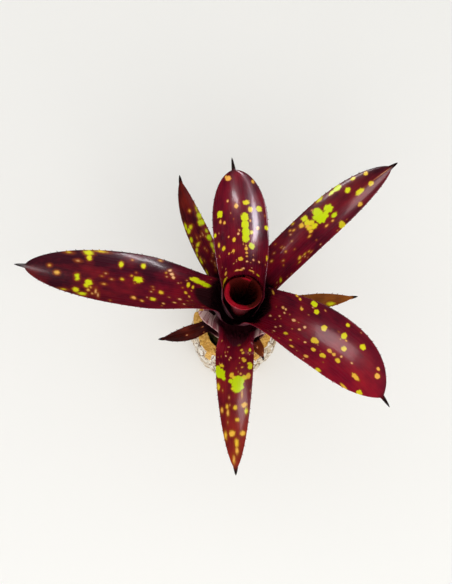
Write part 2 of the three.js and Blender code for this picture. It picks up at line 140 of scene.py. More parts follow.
def new_piece(name, points, faces, **paints):
    """An object at the origin with a smooth mesh of these points and, for each paint, a value
    at each point that a material or a geometry tree reads by name."""
    mesh = bpy.data.meshes.new(name)
    mesh.from_pydata((np.asarray(points) * MM).tolist(), [], faces)
    for paint, values in paints.items():
        values = np.asarray(values, dtype=np.float32)
        vectors = values.ndim == 2
        layer = mesh.attributes.new(paint, "FLOAT_VECTOR" if vectors else "FLOAT", "POINT")
        layer.data.foreach_set("vector" if vectors else "value", values.ravel())
    mesh.shade_smooth()
    piece = bpy.data.objects.new(name, mesh)
    bpy.context.scene.collection.objects.link(piece)
    return piece


def add(tree, kind, sockets=None, output=None, **settings):
    """Adds a node and returns its output. An entry of sockets is an input's name or number,
    with the value to set there or the output to join to it."""
    made = tree.nodes.new(kind)
    made.location = (200 * (len(tree.nodes) % 12), -260 * (len(tree.nodes) // 12))
    for name, value in settings.items():
        setattr(made, name, value)
    for key, value in (sockets or {}).items():
        place = made.inputs[key] if isinstance(key, int) else next(
            socket for socket in made.inputs if socket.name == key and socket.enabled)
        if isinstance(value, bpy.types.NodeSocket):
            tree.links.new(value, place)
        else:
            place.default_value = value
    for socket in made.outputs:
        if socket.enabled and output in (None, socket.name):
            return socket
    return None


def sums(tree, operation, *values):
    return add(tree, "ShaderNodeMath", dict(enumerate(values)), operation=operation)


def vector_sums(tree, operation, *values):
    return add(tree, "ShaderNodeVectorMath", dict(enumerate(values)), operation=operation)


def ramp(tree, value, low, high, start=0.0, end=1.0):
    """A value that eases from start to end as another goes from low to high."""
    return add(tree, "ShaderNodeMapRange", {"Value": value, "From Min": low, "From Max": high,
               "To Min": start, "To Max": end}, interpolation_type="SMOOTHSTEP")


def blend(tree, share, first, second, how="MIX"):
    return add(tree, "ShaderNodeMix", {"Factor": share, "A": first, "B": second},
               data_type="RGBA", blend_type=how)


def cloud(tree, place, scale, detail=3.0, roughness=0.5, seed=0.0):
    return add(tree, "ShaderNodeTexNoise", {"Vector": place, "W": seed, "Scale": scale,
               "Detail": detail, "Roughness": roughness}, noise_dimensions="4D")


def new_tree(name, kind, inputs, outputs):
    """A node group with named inputs and outputs, and the nodes that stand for both."""
    tree = bpy.data.node_groups.new(name, kind)
    for label, (socket_type, value) in inputs.items():
        socket = tree.interface.new_socket(label, in_out="INPUT", socket_type=socket_type)
        if value is not None:
            socket.default_value = value
    for label, socket_type in outputs.items():
        tree.interface.new_socket(label, in_out="OUTPUT", socket_type=socket_type)
    return tree, tree.nodes.new("NodeGroupInput").outputs, tree.nodes.new("NodeGroupOutput").inputs


def stored(tree, name, kind="FLOAT"):
    """A paint of the mesh, as a geometry tree reads it."""
    return add(tree, "GeometryNodeInputNamedAttribute", {"Name": name}, data_type=kind)


def painted(tree, name, output="Fac"):
    """A paint of the mesh, as a material reads it."""
    return add(tree, "ShaderNodeAttribute", output=output, attribute_name=name)


def real_mesh(tree, geometry, material):
    """Turns what a geometry tree made into one real, smooth mesh with its material."""
    real = add(tree, "GeometryNodeRealizeInstances", {"Geometry": geometry})
    smoothed = add(tree, "GeometryNodeSetShadeSmooth", {"Geometry": real})
    return add(tree, "GeometryNodeSetMaterial", {"Geometry": smoothed, "Material": material})


def grow(piece, tree, **sizes):
    """Runs a geometry tree over a piece and keeps the result as the piece's own mesh."""
    modifier = piece.modifiers.new(tree.name, "NODES")
    modifier.node_group = tree
    for item in tree.interface.items_tree:
        key = item.name.lower().replace(" ", "_")
        if item.item_type == "SOCKET" and item.in_out == "INPUT" and key in sizes:
            modifier[item.identifier] = sizes[key]
    depsgraph = bpy.context.evaluated_depsgraph_get()
    grown = bpy.data.meshes.new_from_object(piece.evaluated_get(depsgraph),
                                            preserve_all_data_layers=True, depsgraph=depsgraph)
    piece.modifiers.remove(modifier)
    bare = piece.data
    piece.data = grown
    bpy.data.meshes.remove(bare)
    grown.name = piece.name


def new_material(name):
    """A material with an empty tree, its shader and the shader's sockets."""
    material = bpy.data.materials.new(name)
    material.use_nodes = True
    tree = material.node_tree
    tree.nodes.clear()
    shader = tree.nodes.new("ShaderNodeBsdfPrincipled")
    add(tree, "ShaderNodeOutputMaterial", {"Surface": shader.outputs["BSDF"]})
    return material, tree, shader.inputs


def matt_surface(tree, shader, base, height, uneven, strength, depth, roughness):
    """Joins a dull material's colour and relief, and a roughness that runs between two values
    as the noise called uneven does."""
    tree.links.new(base, shader["Base Color"])
    bump = add(tree, "ShaderNodeBump", {"Strength": strength, "Distance": depth,
               "Height": height})
    tree.links.new(bump, shader["Normal"])
    tree.links.new(ramp(tree, uneven, 0.3, 0.7, *roughness), shader["Roughness"])


def bark_relief():
    """Cracks the bark into plates, pits it, and breaks the sawn rim into crumbs and steps."""
    tree, given, result = new_tree("bark_relief", "GeometryNodeTree", {
        "Geometry": ("NodeSocketGeometry", None),
        "Plate Width": ("NodeSocketFloat", 0.009),
        "Plate Height": ("NodeSocketFloat", 0.014),
        "Crack Depth": ("NodeSocketFloat", 0.0011),
        "Pit Depth": ("NodeSocketFloat", 0.0009),
        "Rim Break": ("NodeSocketFloat", 0.0016),
        "Seed": ("NodeSocketFloat", 4.0),
        "Material": ("NodeSocketMaterial", None),
    }, {"Geometry": "NodeSocketGeometry"})
    place = add(tree, "GeometryNodeInputPosition")
    bark = stored(tree, "bark")
    rim = stored(tree, "rim")
    seed = given["Seed"]

    across = sums(tree, "DIVIDE", 1.0, given["Plate Width"])
    upward = sums(tree, "DIVIDE", 1.0, given["Plate Height"])
    plates = add(tree, "ShaderNodeCombineXYZ", {"X": across, "Y": across, "Z": upward})
    wander = add(tree, "ShaderNodeTexNoise", {"Vector": place, "W": seed, "Scale": 120.0,
                 "Detail": 3.0}, output="Color", noise_dimensions="4D")
    warped = vector_sums(tree, "MULTIPLY_ADD", place, plates, wander)
    gap = add(tree, "ShaderNodeTexVoronoi", {"Vector": warped, "W": seed, "Scale": 1.0},
              output="Distance", voronoi_dimensions="4D", feature="DISTANCE_TO_EDGE")
    crack = ramp(tree, gap, 0.0, 0.16, 1.0, 0.0)
    pit = ramp(tree, cloud(tree, place, 330.0, 2.0, 0.6, seed), 0.6, 0.72)
    rough = sums(tree, "SUBTRACT", cloud(tree, place, 210.0, 4.0, 0.62, seed), 0.5)

    crumb = add(tree, "ShaderNodeTexVoronoi", {"Vector": place, "W": seed, "Scale": 190.0},
                output="Color", voronoi_dimensions="4D", feature="F1")
    step = sums(tree, "SUBTRACT", add(tree, "ShaderNodeSeparateXYZ", {"Vector": crumb}), 0.5)

    dent = sums(tree, "MULTIPLY", crack, given["Crack Depth"])
    dent = sums(tree, "MULTIPLY_ADD", pit, given["Pit Depth"], dent)
    raised = sums(tree, "MULTIPLY", rough, given["Pit Depth"])
    outward = sums(tree, "MULTIPLY", sums(tree, "SUBTRACT", raised, dent), bark)
    broken = sums(tree, "MULTIPLY", sums(tree, "ADD", step, rough), given["Rim Break"])
    outward = sums(tree, "MULTIPLY_ADD", broken, rim, outward)
    normal = add(tree, "GeometryNodeInputNormal")
    shift = vector_sums(tree, "MULTIPLY", normal, outward)
    moved = add(tree, "GeometryNodeSetPosition", {"Geometry": given["Geometry"], "Offset": shift})
    depth = sums(tree, "MAXIMUM", crack, pit)
    marked = add(tree, "GeometryNodeStoreNamedAttribute", {"Geometry": moved, "Name": "crack",
                 "Value": sums(tree, "MULTIPLY", depth, bark)}, data_type="FLOAT")
    tree.links.new(real_mesh(tree, marked, given["Material"]), result["Geometry"])
    return tree


def cork_skin():
    """Grey-cream plates and dark cracks outside, golden cork on the rim and where bark has
    chipped off below it, and painted shade that darkens the hollow."""
    material, tree, shader = new_material("cork_bark")
    place = add(tree, "ShaderNodeTexCoord", output="Object")
    rim, chip, hollow, crack = [painted(tree, name) for name in ("rim", "chip", "hollow",
                                                                 "crack")]

    broad = cloud(tree, place, 90.0, 4.0, 0.6, 1.0)
    fine = cloud(tree, place, 650.0, 4.0, 0.7, 2.0)
    plate = blend(tree, ramp(tree, broad, 0.42, 0.6), colour("#cdb898"), colour("#f0e9dc"))
    plate = blend(tree, ramp(tree, fine, 0.54, 0.63), plate, colour("#6a4628"))
    lichen = ramp(tree, cloud(tree, place, 160.0, 3.0, 0.6, 9.0), 0.55, 0.66)
    plate = blend(tree, lichen, plate, colour("#f1eee6"))
    outside = blend(tree, ramp(tree, crack, 0.45, 1.0), plate, colour("#7c6044"))

    grain = cloud(tree, place, 420.0, 5.0, 0.7, 5.0)
    sawn = blend(tree, ramp(tree, grain, 0.35, 0.62), colour("#c08628"), colour("#f0c060"))
    pore = ramp(tree, cloud(tree, place, 520.0, 2.0, 0.5, 7.0), 0.62, 0.7)
    sawn = blend(tree, pore, sawn, colour("#7a4a1a"))

    golden = sums(tree, "MAXIMUM", rim, chip)
    golden = ramp(tree, sums(tree, "ADD", golden, sums(tree, "SUBTRACT", broad, 0.5)), 0.35, 0.55)
    skin = blend(tree, golden, outside, sawn)
    # Painted shade: the hollow turns near black below the rim.
    dark = blend(tree, broad, colour("#0e0a08"), colour("#2b1d12"))
    relief = sums(tree, "MULTIPLY_ADD", broad, 1.5, fine)
    matt_surface(tree, shader, blend(tree, hollow, skin, dark), relief, fine, strength=0.6,
              depth=0.0006, roughness=(0.8, 0.98))
    shader["Specular IOR Level"].default_value = 0.25
    return material


def cork_log():
    angle = round_angles(CORK_SIDES)
    rim = rim_height(angle)
    rings, bark, sawn, chipped, dark = [], [], [], [], []

    def ring(radius, height, bark_share, rim_share, chip_share, shade_share):
        rings.append(turned(angle, radius, height))
        for paint, share in zip((bark, sawn, chipped, dark),
                                (bark_share, rim_share, chip_share, shade_share)):
            paint.append(np.broadcast_to(share, angle.shape))

    for row in np.linspace(0, 1, BARK_ROWS):
        height = row * rim
        chip = np.zeros_like(angle)
        for middle, spread, depth in CORK_CHIPS:
            away = np.abs(np.angle(np.exp(1j * (angle - middle))))
            chip = np.maximum(chip, smooth(spread, spread * 0.5, away)
                              * smooth(depth, depth * 0.7, rim - height))
        top = smooth(*SAWN_FADE, rim - height)
        ring(bark_radius(angle, height) - CHIP_DEPTH * chip, height,
             (1 - top) * smooth(*BARK_FROM, height) * (1 - chip), top, chip, 0.0)
    outer = bark_radius(angle, CORK_HEIGHT) - CHIP_DEPTH * chip
    inner = hollow_radius(angle)
    for row in np.linspace(0, 1, RIM_ROWS)[1:-1]:
        crown = rim + RIM_CROWN * math.sin(math.pi * row) * np.sin(11 * angle)
        ring(mix(outer, inner, row), crown, 0.0, 1.0, 1.0, 0.0)
    # Down the hollow, painted shade deepens with the distance below the rim.
    for row in np.linspace(1, 0, HOLLOW_ROWS):
        height = mix(HOLLOW_FLOOR, rim, row)
        ring(inner, height, 0.0, smooth(*RIM_INTO_HOLLOW, rim - height), 0.0,
             smooth(*SHADE_BELOW_RIM, rim - height))

    piece = new_piece("cork_log", np.concatenate(rings), capped_loft(len(rings), CORK_SIDES),
                      bark=np.concatenate(bark), rim=np.concatenate(sawn),
                      chip=np.concatenate(chipped), hollow=np.concatenate(dark))
    grow(piece, bark_relief(), plate_width=0.008, plate_height=0.024, crack_depth=0.0012,
         pit_depth=0.0010, rim_break=0.0018, seed=4.0, material=cork_skin())
    return piece


log = cork_log()
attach(log, "root")
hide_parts("cork_holder")


# ---- Moss plug -----------------------------------------------------------------------------
# Long-fibred sphagnum, soaked, wrung out and pushed into the hollow round the stem. It is
# packed level, and its strands dry olive and straw on top.

MOSS_CLEARANCE = 0.35
MOSS_SHOULDER = 64
MOSS_CROWN = 83
MOSS_BUMP = 1.6
MOSS_SIDES = 144
MOSS_WALL_ROWS = 8
MOSS_TOP_ROWS = 22
MOSS_HOLE_ROWS = 6
MOSS_HOLE_SHARE = 0.42
ROSETTE_PLACE = Vector((3, 7, 80))
ROSETTE_LEAN = math.radians(4)
ROSETTE_LEAN_TOWARD = math.radians(58)
STEM_FOOT = -24
STEM_RADIUS = 8.6

lean_axis = Vector((-math.sin(ROSETTE_LEAN_TOWARD), math.cos(ROSETTE_LEAN_TOWARD), 0))
rosette = Matrix.Translation(ROSETTE_PLACE) @ Matrix.Rotation(ROSETTE_LEAN, 4, lean_axis)


def in_rosette(points):
    """Points in the rosette's own frame, whose upright is the stem, put in their real place."""
    turn = np.array(rosette.to_3x3())
    return points @ turn.T + np.array(rosette.translation)


def strands():
    """Strews thin bent strands over a piece, thickest where its tuft paint is strong."""
    tree, given, result = new_tree("moss_strands", "GeometryNodeTree", {
        "Geometry": ("NodeSocketGeometry", None),
        "Strand Length": ("NodeSocketFloat", 0.006),
        "Strand Width": ("NodeSocketFloat", 0.0005),
        "Density": ("NodeSocketFloat", 300000.0),
        "Seed": ("NodeSocketInt", 3),
        "Material": ("NodeSocketMaterial", None),
    }, {"Geometry": "NodeSocketGeometry"})
    tuft = stored(tree, "tuft")
    density = sums(tree, "MULTIPLY", tuft, given["Density"])
    points = add(tree, "GeometryNodeDistributePointsOnFaces", {"Mesh": given["Geometry"],
                 "Density": density, "Seed": given["Seed"]})
    length = given["Strand Length"]
    middle = add(tree, "ShaderNodeCombineXYZ", {"X": sums(tree, "MULTIPLY", length, 0.55),
                 "Z": sums(tree, "MULTIPLY", length, 0.3)})
    tip = add(tree, "ShaderNodeCombineXYZ", {"X": length, "Y": sums(tree, "MULTIPLY", length, 0.3),
              "Z": sums(tree, "MULTIPLY", length, -0.05)})
    strand = add(tree, "GeometryNodeCurveQuadraticBezier", {"Resolution": 5, "Start": (0, 0, 0),
                 "Middle": middle, "End": tip})
    along = add(tree, "GeometryNodeSplineParameter", output="Factor")
    thick = ramp(tree, along, 0.0, 1.0, 1.0, 0.15)
    section = add(tree, "GeometryNodeCurvePrimitiveCircle", {"Resolution": 4,
                  "Radius": sums(tree, "MULTIPLY", given["Strand Width"], 0.5)})
    body = add(tree, "GeometryNodeCurveToMesh", {"Curve": strand, "Profile Curve": section,
               "Scale": thick, "Fill Caps": True})
    spin = add(tree, "FunctionNodeRandomValue", {"Min": (-0.7, -0.7, -3.14),
               "Max": (0.7, 0.7, 3.14), "Seed": given["Seed"]}, data_type="FLOAT_VECTOR")
    turn = add(tree, "FunctionNodeRotateRotation", {
        "Rotation": points.node.outputs["Rotation"], "Rotate By": spin}, rotation_space="LOCAL")
    size = add(tree, "FunctionNodeRandomValue", {"Min": 0.5, "Max": 1.2,
               "Seed": sums(tree, "ADD", given["Seed"], 1)}, data_type="FLOAT")
    sown = add(tree, "GeometryNodeInstanceOnPoints", {"Points": points, "Instance": body,
               "Rotation": turn, "Scale": size})
    both = add(tree, "GeometryNodeJoinGeometry", {"Geometry": sown})
    tree.links.new(given["Geometry"], both.node.inputs["Geometry"])
    tree.links.new(real_mesh(tree, both, given["Material"]), result["Geometry"])
    return tree


def moss_skin():
    material, tree, shader = new_material("sphagnum")
    place = add(tree, "ShaderNodeTexCoord", output="Object")
    patch = cloud(tree, place, 110.0, 4.0, 0.6, 3.0)
    thread = cloud(tree, place, 900.0, 3.0, 0.7, 4.0)
    green = blend(tree, ramp(tree, patch, 0.4, 0.62), colour("#2a2a10"), colour("#6d6a2a"))
    straw = blend(tree, ramp(tree, thread, 0.55, 0.75), green, colour("#a8935a"))
    matt_surface(tree, shader, straw, thread, patch, strength=0.7, depth=0.0008,
              roughness=(0.85, 1.0))
    shader["Specular IOR Level"].default_value = 0.2
    return material


def moss_plug():
    angle = round_angles(MOSS_SIDES)
    outer = hollow_radius(angle) - MOSS_CLEARANCE
    hole = STEM_RADIUS + MOSS_CLEARANCE

    def round_stem(height):
        """The hole's ring at a world height, round the stem that leans through it."""
        up = np.broadcast_to(height - ROSETTE_PLACE.z, angle.shape)
        return in_rosette(turned(angle, hole, up))

    rings, tufts = [], []
    for height in np.linspace(HOLLOW_FLOOR + MOSS_CLEARANCE, MOSS_SHOULDER - 1,
                              MOSS_WALL_ROWS):
        rings.append(turned(angle, outer, height))
        tufts.append(np.zeros_like(angle))
    for row in np.linspace(1, MOSS_HOLE_SHARE, MOSS_TOP_ROWS):
        bump = np.sin(5 * angle + 9 * row) + np.sin(8 * angle - 14 * row)
        bump = 0.5 * MOSS_BUMP * bump * smooth(1.0, 0.85, row)
        height = mix(MOSS_CROWN, MOSS_SHOULDER, row * row) + bump
        fine = 0.5 * np.sin(23 * angle + 31 * row) * np.sin(17 * angle - 40 * row)
        ring = turned(angle, outer * row, height + fine * smooth(1.0, 0.9, row))
        stem_share = smooth(0.6, MOSS_HOLE_SHARE, row)
        rings.append(mix(ring, round_stem(height), stem_share))
        tufts.append(np.full_like(angle, 1.0 - 0.6 * stem_share))
    for height in np.linspace(MOSS_CROWN - 4, ROSETTE_PLACE.z + STEM_FOOT, MOSS_HOLE_ROWS):
        rings.append(round_stem(height))
        tufts.append(np.zeros_like(angle))
    piece = new_piece("moss_pad", np.concatenate(rings), capped_loft(len(rings), MOSS_SIDES),
                      tuft=np.concatenate(tufts))
    grow(piece, strands(), strand_length=0.006, strand_width=0.0006, density=700000.0, seed=3,
         material=moss_skin())
    return piece


moss = moss_plug()
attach(moss, "root")
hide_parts("moss_plug")


# ---- Stem ----------------------------------------------------------------------------------
# The short woody caudex that every leaf grows from. It is stepped where each leaf's base
# leaves its scar, and brown and fibrous between the scars.

LEAF_SEATS = ((4.8, 32), (5.6, 29), (6.2, 26), (6.8, 23.5), (7.4, 21), (7.9, 19), (8.2, 17),
              (8.4, 15), (8.5, 13), (8.6, 11), (8.7, 9))
SEAT_GAP = 0.3
FACET_LOSS = 0.935
STEM_FOOT_RADIUS = 5.5
STEM_TIP = (2.2, 35)
STEM_SIDES = 72
STEM_ROWS = 90
SCAR_HEIGHT = 0.35
SCAR_DEPTH = 0.2
STEM_ROUGHNESS = 0.12


def stem_skin():
    material, tree, shader = new_material("caudex")
    place = add(tree, "ShaderNodeTexCoord", output="Object")
    stretched = add(tree, "ShaderNodeMapping", {"Vector": place, "Scale": (1, 1, 0.15)})
    fibre = cloud(tree, stretched, 1500.0, 4.0, 0.7, 2.0)
    scar = painted(tree, "scar")
    wood = blend(tree, ramp(tree, fibre, 0.35, 0.65), colour("#3d2a18"), colour("#8a6a40"))
    matt_surface(tree, shader, blend(tree, scar, wood, colour("#24160c")), fibre, fibre,
              strength=0.6, depth=0.0005, roughness=(0.7, 0.95))
    return material


def caudex():
    seats = [(radius * FACET_LOSS - SEAT_GAP, height) for radius, height in LEAF_SEATS[::-1]]
    profile = [(STEM_FOOT_RADIUS, STEM_FOOT), *seats, STEM_TIP]
    radii, heights = np.array(profile).T
    angle = round_angles(STEM_SIDES)
    rings, scars = [], []
    for height in np.linspace(STEM_FOOT, STEM_TIP[1], STEM_ROWS):
        scar = max(math.exp(-((height - seat) / SCAR_HEIGHT) ** 2) for seat in heights[1:-1])
        rough = STEM_ROUGHNESS * np.sin(9 * angle + height) * np.sin(5 * angle - 0.7 * height)
        radius = (np.interp(height, heights, radii) - SCAR_DEPTH * scar - STEM_ROUGHNESS
                  + rough)
        rings.append(turned(angle, radius, height))
        scars.append(np.full_like(angle, scar))
    piece = new_piece("caudex", in_rosette(np.concatenate(rings)),
                      capped_loft(len(rings), STEM_SIDES), scar=np.concatenate(scars))
    piece.data.materials.append(stem_skin())
    return piece


stem = caudex()
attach(stem, "root")
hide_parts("stem")


# ---- Leaves --------------------------------------------------------------------------------
# Each leaf is one leathery strap. Its broad sheath clasps the leaves inside it, and its blade
# opens from a gutter to nearly flat, with parallel veins, a row of dark spines on each margin
# and a dry point. Cream to lime spots are cells that hold no red pigment.

MID_THICKNESS = 1.25
MARGIN_THICKNESS = 0.7
MARGIN_ROUND = 0.3
SHEATH_ROWS = 64
BLADE_ROW = 0.62
SPIKE_ROWS = 14
COLUMNS = 60
FINE_STEPS = 400
LIP_START = 0.85
BACK_LIP = 0.25
SEAT_RISE = 3
CLASPED_AT = 0.45
NARROW_FROM = 0.5
SLANT_FROM = 0.3
ROLLED_OVER_AT = 0.5
SPIKE_CURVE = 0.8
SPINES_END = 0.14
SPINES_START = (-0.25, 0.05)
SPINE_LEAN = 0.8
DRY_FROM, DRY_TO = 0.035, 0.02
TIP_CUT = 0.002
THICKNESS_SHARE = 0.8
ROUND_SHARE = 0.5
PAPER_FADE = 8
PAPER_ENDS = (0.04, -0.03)
FRECKLE_LENGTH = (0.5, 0.9)
FRECKLE_WIDTH = (0.35, 0.6)
FRECKLE_RIPENESS = (0.0, 0.3)
FRECKLE_CROWDING = (1.2, 3.0)
FRECKLE_LAST = 0.9
FRECKLE_SPREAD = 0.95
RAGGED_SHARE = 0.3
RAGGED_LIMITS = (0.12, 1.3)
NO_SPOT = -4.0


class StrapLeaf:
    """The leaf's surface. The sheath is a patch of a turned surface round the stem's axis. The
    blade is a gutter of circular section along a midrib, and the last part of the sheath
    blends from the first form into the second."""

    def __init__(self, **size):
        self.veer, self.veer_power, self.roll, self.fold_start = 0, 1.5, 0, 0.7
        self.wing, self.wing_from, self.wing_at, self.wing_fall = 0, 0.42, 0.66, 1.8
        self.wing_bend, self.cup = 0, math.inf
        self.rolled, self.coil, self.lip, self.slant = 0, 0, 0, 0
        self.axil, self.axil_fade = 0, 0.02
        self.axil_line = lambda v: self.axil + 0.02 * np.sin(9 * v)
        self.inner_axil, self.outer_axil, self.paper = 1, 0, 0
        self.rust, self.glow, self.soft = (0, 0, 0), (0.4, 0, 0), (0.1, 0, 0)
        vars(self).update(size)
        at = (np.arange(FINE_STEPS) + 0.5) / FINE_STEPS
        steps = self.along_at(at) * self.length / FINE_STEPS
        heading = math.radians(self.heading)
        neck = (self.neck[0] * math.cos(heading), self.neck[0] * math.sin(heading), self.neck[1])
        self.midrib = np.concatenate([[neck], neck + np.cumsum(steps, axis=0)])

    def pitch_at(self, u):
        neck, middle, tip = self.pitch
        return np.radians(neck * (1 - u) * (1 - 2 * u) + middle * 4 * u * (1 - u)
                          + tip * u * (2 * u - 1))

    def heading_at(self, u):
        return np.radians(self.heading + self.veer * u ** self.veer_power)

    def along_at(self, u):
        pitch, heading = self.pitch_at(u), self.heading_at(u)
        return np.stack([np.cos(pitch) * np.cos(heading), np.cos(pitch) * np.sin(heading),
                         np.sin(pitch)], axis=-1)

    def midrib_at(self, u):
        fine = np.linspace(0, 1, FINE_STEPS + 1)
        return np.stack([np.interp(u, fine, axis) for axis in self.midrib.T], axis=-1)

    def sheath_curve(self, t):
        """[radius, height] of the sheath from the seat to the neck, and the curve's slope."""
        neck_radius, neck_height = self.neck
        pitch = self.pitch_at(0)
        handle = max((neck_radius - self.nest - 1) / math.cos(pitch), 1)
        corners = np.array([
            self.seat,
            (self.nest + self.bulge, self.seat[1] + SEAT_RISE),
            (neck_radius - handle * math.cos(pitch), neck_height - handle * math.sin(pitch)),
            self.neck,
        ], dtype=float)
        back = 1 - t
        weights = np.stack([back ** 3, 3 * back ** 2 * t, 3 * back * t ** 2, t ** 3], axis=-1)
        turns = np.stack([back ** 2, 2 * back * t, t ** 2], axis=-1)
        slope = 3 * turns @ np.diff(corners, axis=0)
        slope[:, 0] += self.lip_at(t)[1]
        return weights @ corners, slope / np.linalg.norm(slope, axis=-1, keepdims=True)

    def lip_at(self, t):
        """How far the mouth flares past the sheath's curve, and how fast."""
        rise = np.clip((t - LIP_START) / (1 - LIP_START), 0, 1)
        return self.lip * rise ** 2, self.lip * 2 * rise / (1 - LIP_START)

    def sheath_half_width(self, t):
        clasped = smooth(0, CLASPED_AT, t)
        if self.rolled:
            radius = self.sheath_curve(t)[0][:, 0]
            return radius * np.radians(mix(self.wrap, self.rolled, clasped))
        base = self.seat[0] * math.radians(self.wrap)
        clasp = mix(base, self.sheath_width, clasped)
        opening = np.maximum((t - self.wing_from) / (self.wing_at - self.wing_from), 0)
        closing = ((1 - t) / (1 - self.wing_at)) ** self.wing_fall
        wing = self.wing * np.minimum(opening, closing)
        return mix(clasp, self.neck_width, smooth(NARROW_FROM, 1, t)) + wing

    def blade_half_width(self, u):
        opening = mix(self.neck_width, self.belly_width, smooth(0, self.belly_at, u))
        roundness, sharpness = self.taper
        spike_share = self.spike / self.length
        x = np.clip((u - self.belly_at) / (1 - spike_share - self.belly_at), 0, 1)
        body = self.belly_width * (1 - x ** roundness) ** sharpness
        spike = self.spike_width * (np.clip(1 - u, 0, 1) / spike_share) ** SPIKE_CURVE
        near_tip = np.maximum(body, np.minimum(spike, 1.2 * self.spike_width))
        narrowing = np.where(u > 1 - 3 * spike_share, near_tip, body)
        return np.where(u < self.belly_at, opening, narrowing)

    def channel_at(self, u):
        neck, belly, tip = np.radians(self.channel)
        opening = mix(neck, belly, smooth(0, self.belly_at, u))
        return np.where(u < self.belly_at, opening, mix(belly, tip, smooth(self.belly_at, 1, u)))

    def gutter(self, middle, pitch, heading, half_width, cup_width, channel, roll, v):
        """Points and upper-face normals across the gutter, one row for each place along it.
        What is wider than the cup bends out to level and runs on flat."""
        along = np.stack([np.cos(pitch) * np.cos(heading), np.cos(pitch) * np.sin(heading),
                          np.sin(pitch)], axis=-1)
        level = np.stack([-np.sin(heading), np.cos(heading), 0 * heading], axis=-1)
        rise = np.cross(along, level)
        roll = roll[:, None]
        across = (level * np.cos(roll) + rise * np.sin(roll))[:, None]
        up = (rise * np.cos(roll) - level * np.sin(roll))[:, None]
        cup_width, channel, side = cup_width[:, None], channel[:, None], np.sign(v[None, :])
        arc = np.abs(v[None, :]) * half_width[:, None]
        curve = cup_width / channel
        cup = np.minimum(arc / curve, channel)
        bent = np.clip((arc - cup_width) / max(self.wing_bend, 1), 0, channel)
        flat = np.maximum(arc - cup_width - channel * self.wing_bend, 0) * (self.wing_bend > 0)
        turn = cup - bent
        out = curve * np.sin(cup) + self.wing_bend * (np.sin(cup) - np.sin(turn)) + flat
        lift = curve * (1 - np.cos(cup)) + self.wing_bend * (np.cos(turn) - np.cos(cup))
        points = middle[:, None] + across * (side * out)[..., None] + up * lift[..., None]
        return points, up * np.cos(turn)[..., None] - across * (side * np.sin(turn))[..., None]

    def blade(self, u, v):
        roll = math.radians(self.roll) * smooth(0, ROLLED_OVER_AT, u)
        half_width = self.blade_half_width(u)
        cup_width = mix(np.minimum(self.cup, half_width), half_width, smooth(0, self.belly_at, u))
        return self.gutter(self.midrib_at(u), self.pitch_at(u), self.heading_at(u), half_width,
                           cup_width, self.channel_at(u), roll, v)

    def sheath(self, t, v):
        (radius, height), slope = self.sheath_curve(t)[0].T, self.sheath_curve(t)[1]
        half_width = self.sheath_half_width(t)
        heading = np.full_like(t, math.radians(self.heading))
        turn = v[None, :] * (half_width / radius)[:, None] + heading[:, None]
        outward = np.stack([np.cos(turn), np.sin(turn), 0 * turn], axis=-1)
        upright = np.array([0, 0, 1.0])
        away = (1 - np.cos(turn - heading[:, None])) / 2
        flare = self.lip_at(t)[0][:, None] * mix(1, BACK_LIP, away)
        coil = self.coil * smooth(0, CLASPED_AT, t)[:, None] * v[None, :]
        drop = self.slant * smooth(SLANT_FROM, 1, t)[:, None] * away
        points = (outward * (radius[:, None] + flare + coil)[..., None]
                  + upright * (height[:, None] - drop)[..., None])
        normals = upright * slope[:, 0, None, None] - outward * slope[:, 1, None, None]
        if self.rolled:
            return points, normals
        middle = np.stack([radius * np.cos(heading), radius * np.sin(heading), height], axis=-1)
        channel = np.full_like(t, self.channel_at(0.0))
        folded, folded_normals = self.gutter(middle, np.arctan2(slope[:, 1], slope[:, 0]),
                                             heading, half_width,
                                             np.minimum(self.cup, half_width), channel, 0 * t, v)
        share = smooth(self.fold_start, 1, t)[:, None, None]
        normals = mix(normals, folded_normals, share)
        return mix(points, folded, share), normals / np.linalg.norm(normals, axis=-1,
                                                                    keepdims=True)


def spot_paints(leaf, u, v, seed):
    """How deep each place lies inside a spot in millimetres, how ripe that spot's colour is,
    and how ragged its edge. A spot is a place along and across, a half-size along and across,
    all as shares of the blade, and its ripeness from 0, cream pink, to 1, lime."""
    dice = np.random.default_rng(seed)
    places = dice.beta(*FRECKLE_CROWDING, leaf.freckles) * FRECKLE_LAST
    sides = dice.uniform(-FRECKLE_SPREAD, FRECKLE_SPREAD, leaf.freckles)
    freckles = [(place, side, dice.uniform(*FRECKLE_LENGTH) / leaf.length,
                 dice.uniform(*FRECKLE_WIDTH) / leaf.belly_width,
                 dice.uniform(*FRECKLE_RIPENESS)) for place, side in zip(places, sides)]
    along = (u * leaf.length)[:, None]
    across = v[None, :] * leaf.blade_half_width(np.clip(u, 0, 1))[:, None]
    shape = np.broadcast(along, across).shape
    depth, ripe, ragged = np.full(shape, NO_SPOT), np.zeros(shape), np.zeros(shape)
    for place, side, half_length, half_width, ripeness in [*leaf.spots, *freckles]:
        width_here = float(leaf.blade_half_width(np.array(place)))
        half = (half_length * leaf.length, half_width * width_here)
        away = np.hypot((along - place * leaf.length) / half[0],
                        (across - side * width_here) / half[1])
        inside = (1 - away) * min(half)
        nearer = inside > depth
        ripe = np.where(nearer, ripeness, ripe)
        ragged = np.where(nearer, np.clip(RAGGED_SHARE * min(half), *RAGGED_LIMITS), ragged)
        depth = np.maximum(depth, inside)
    return depth, ripe, ragged


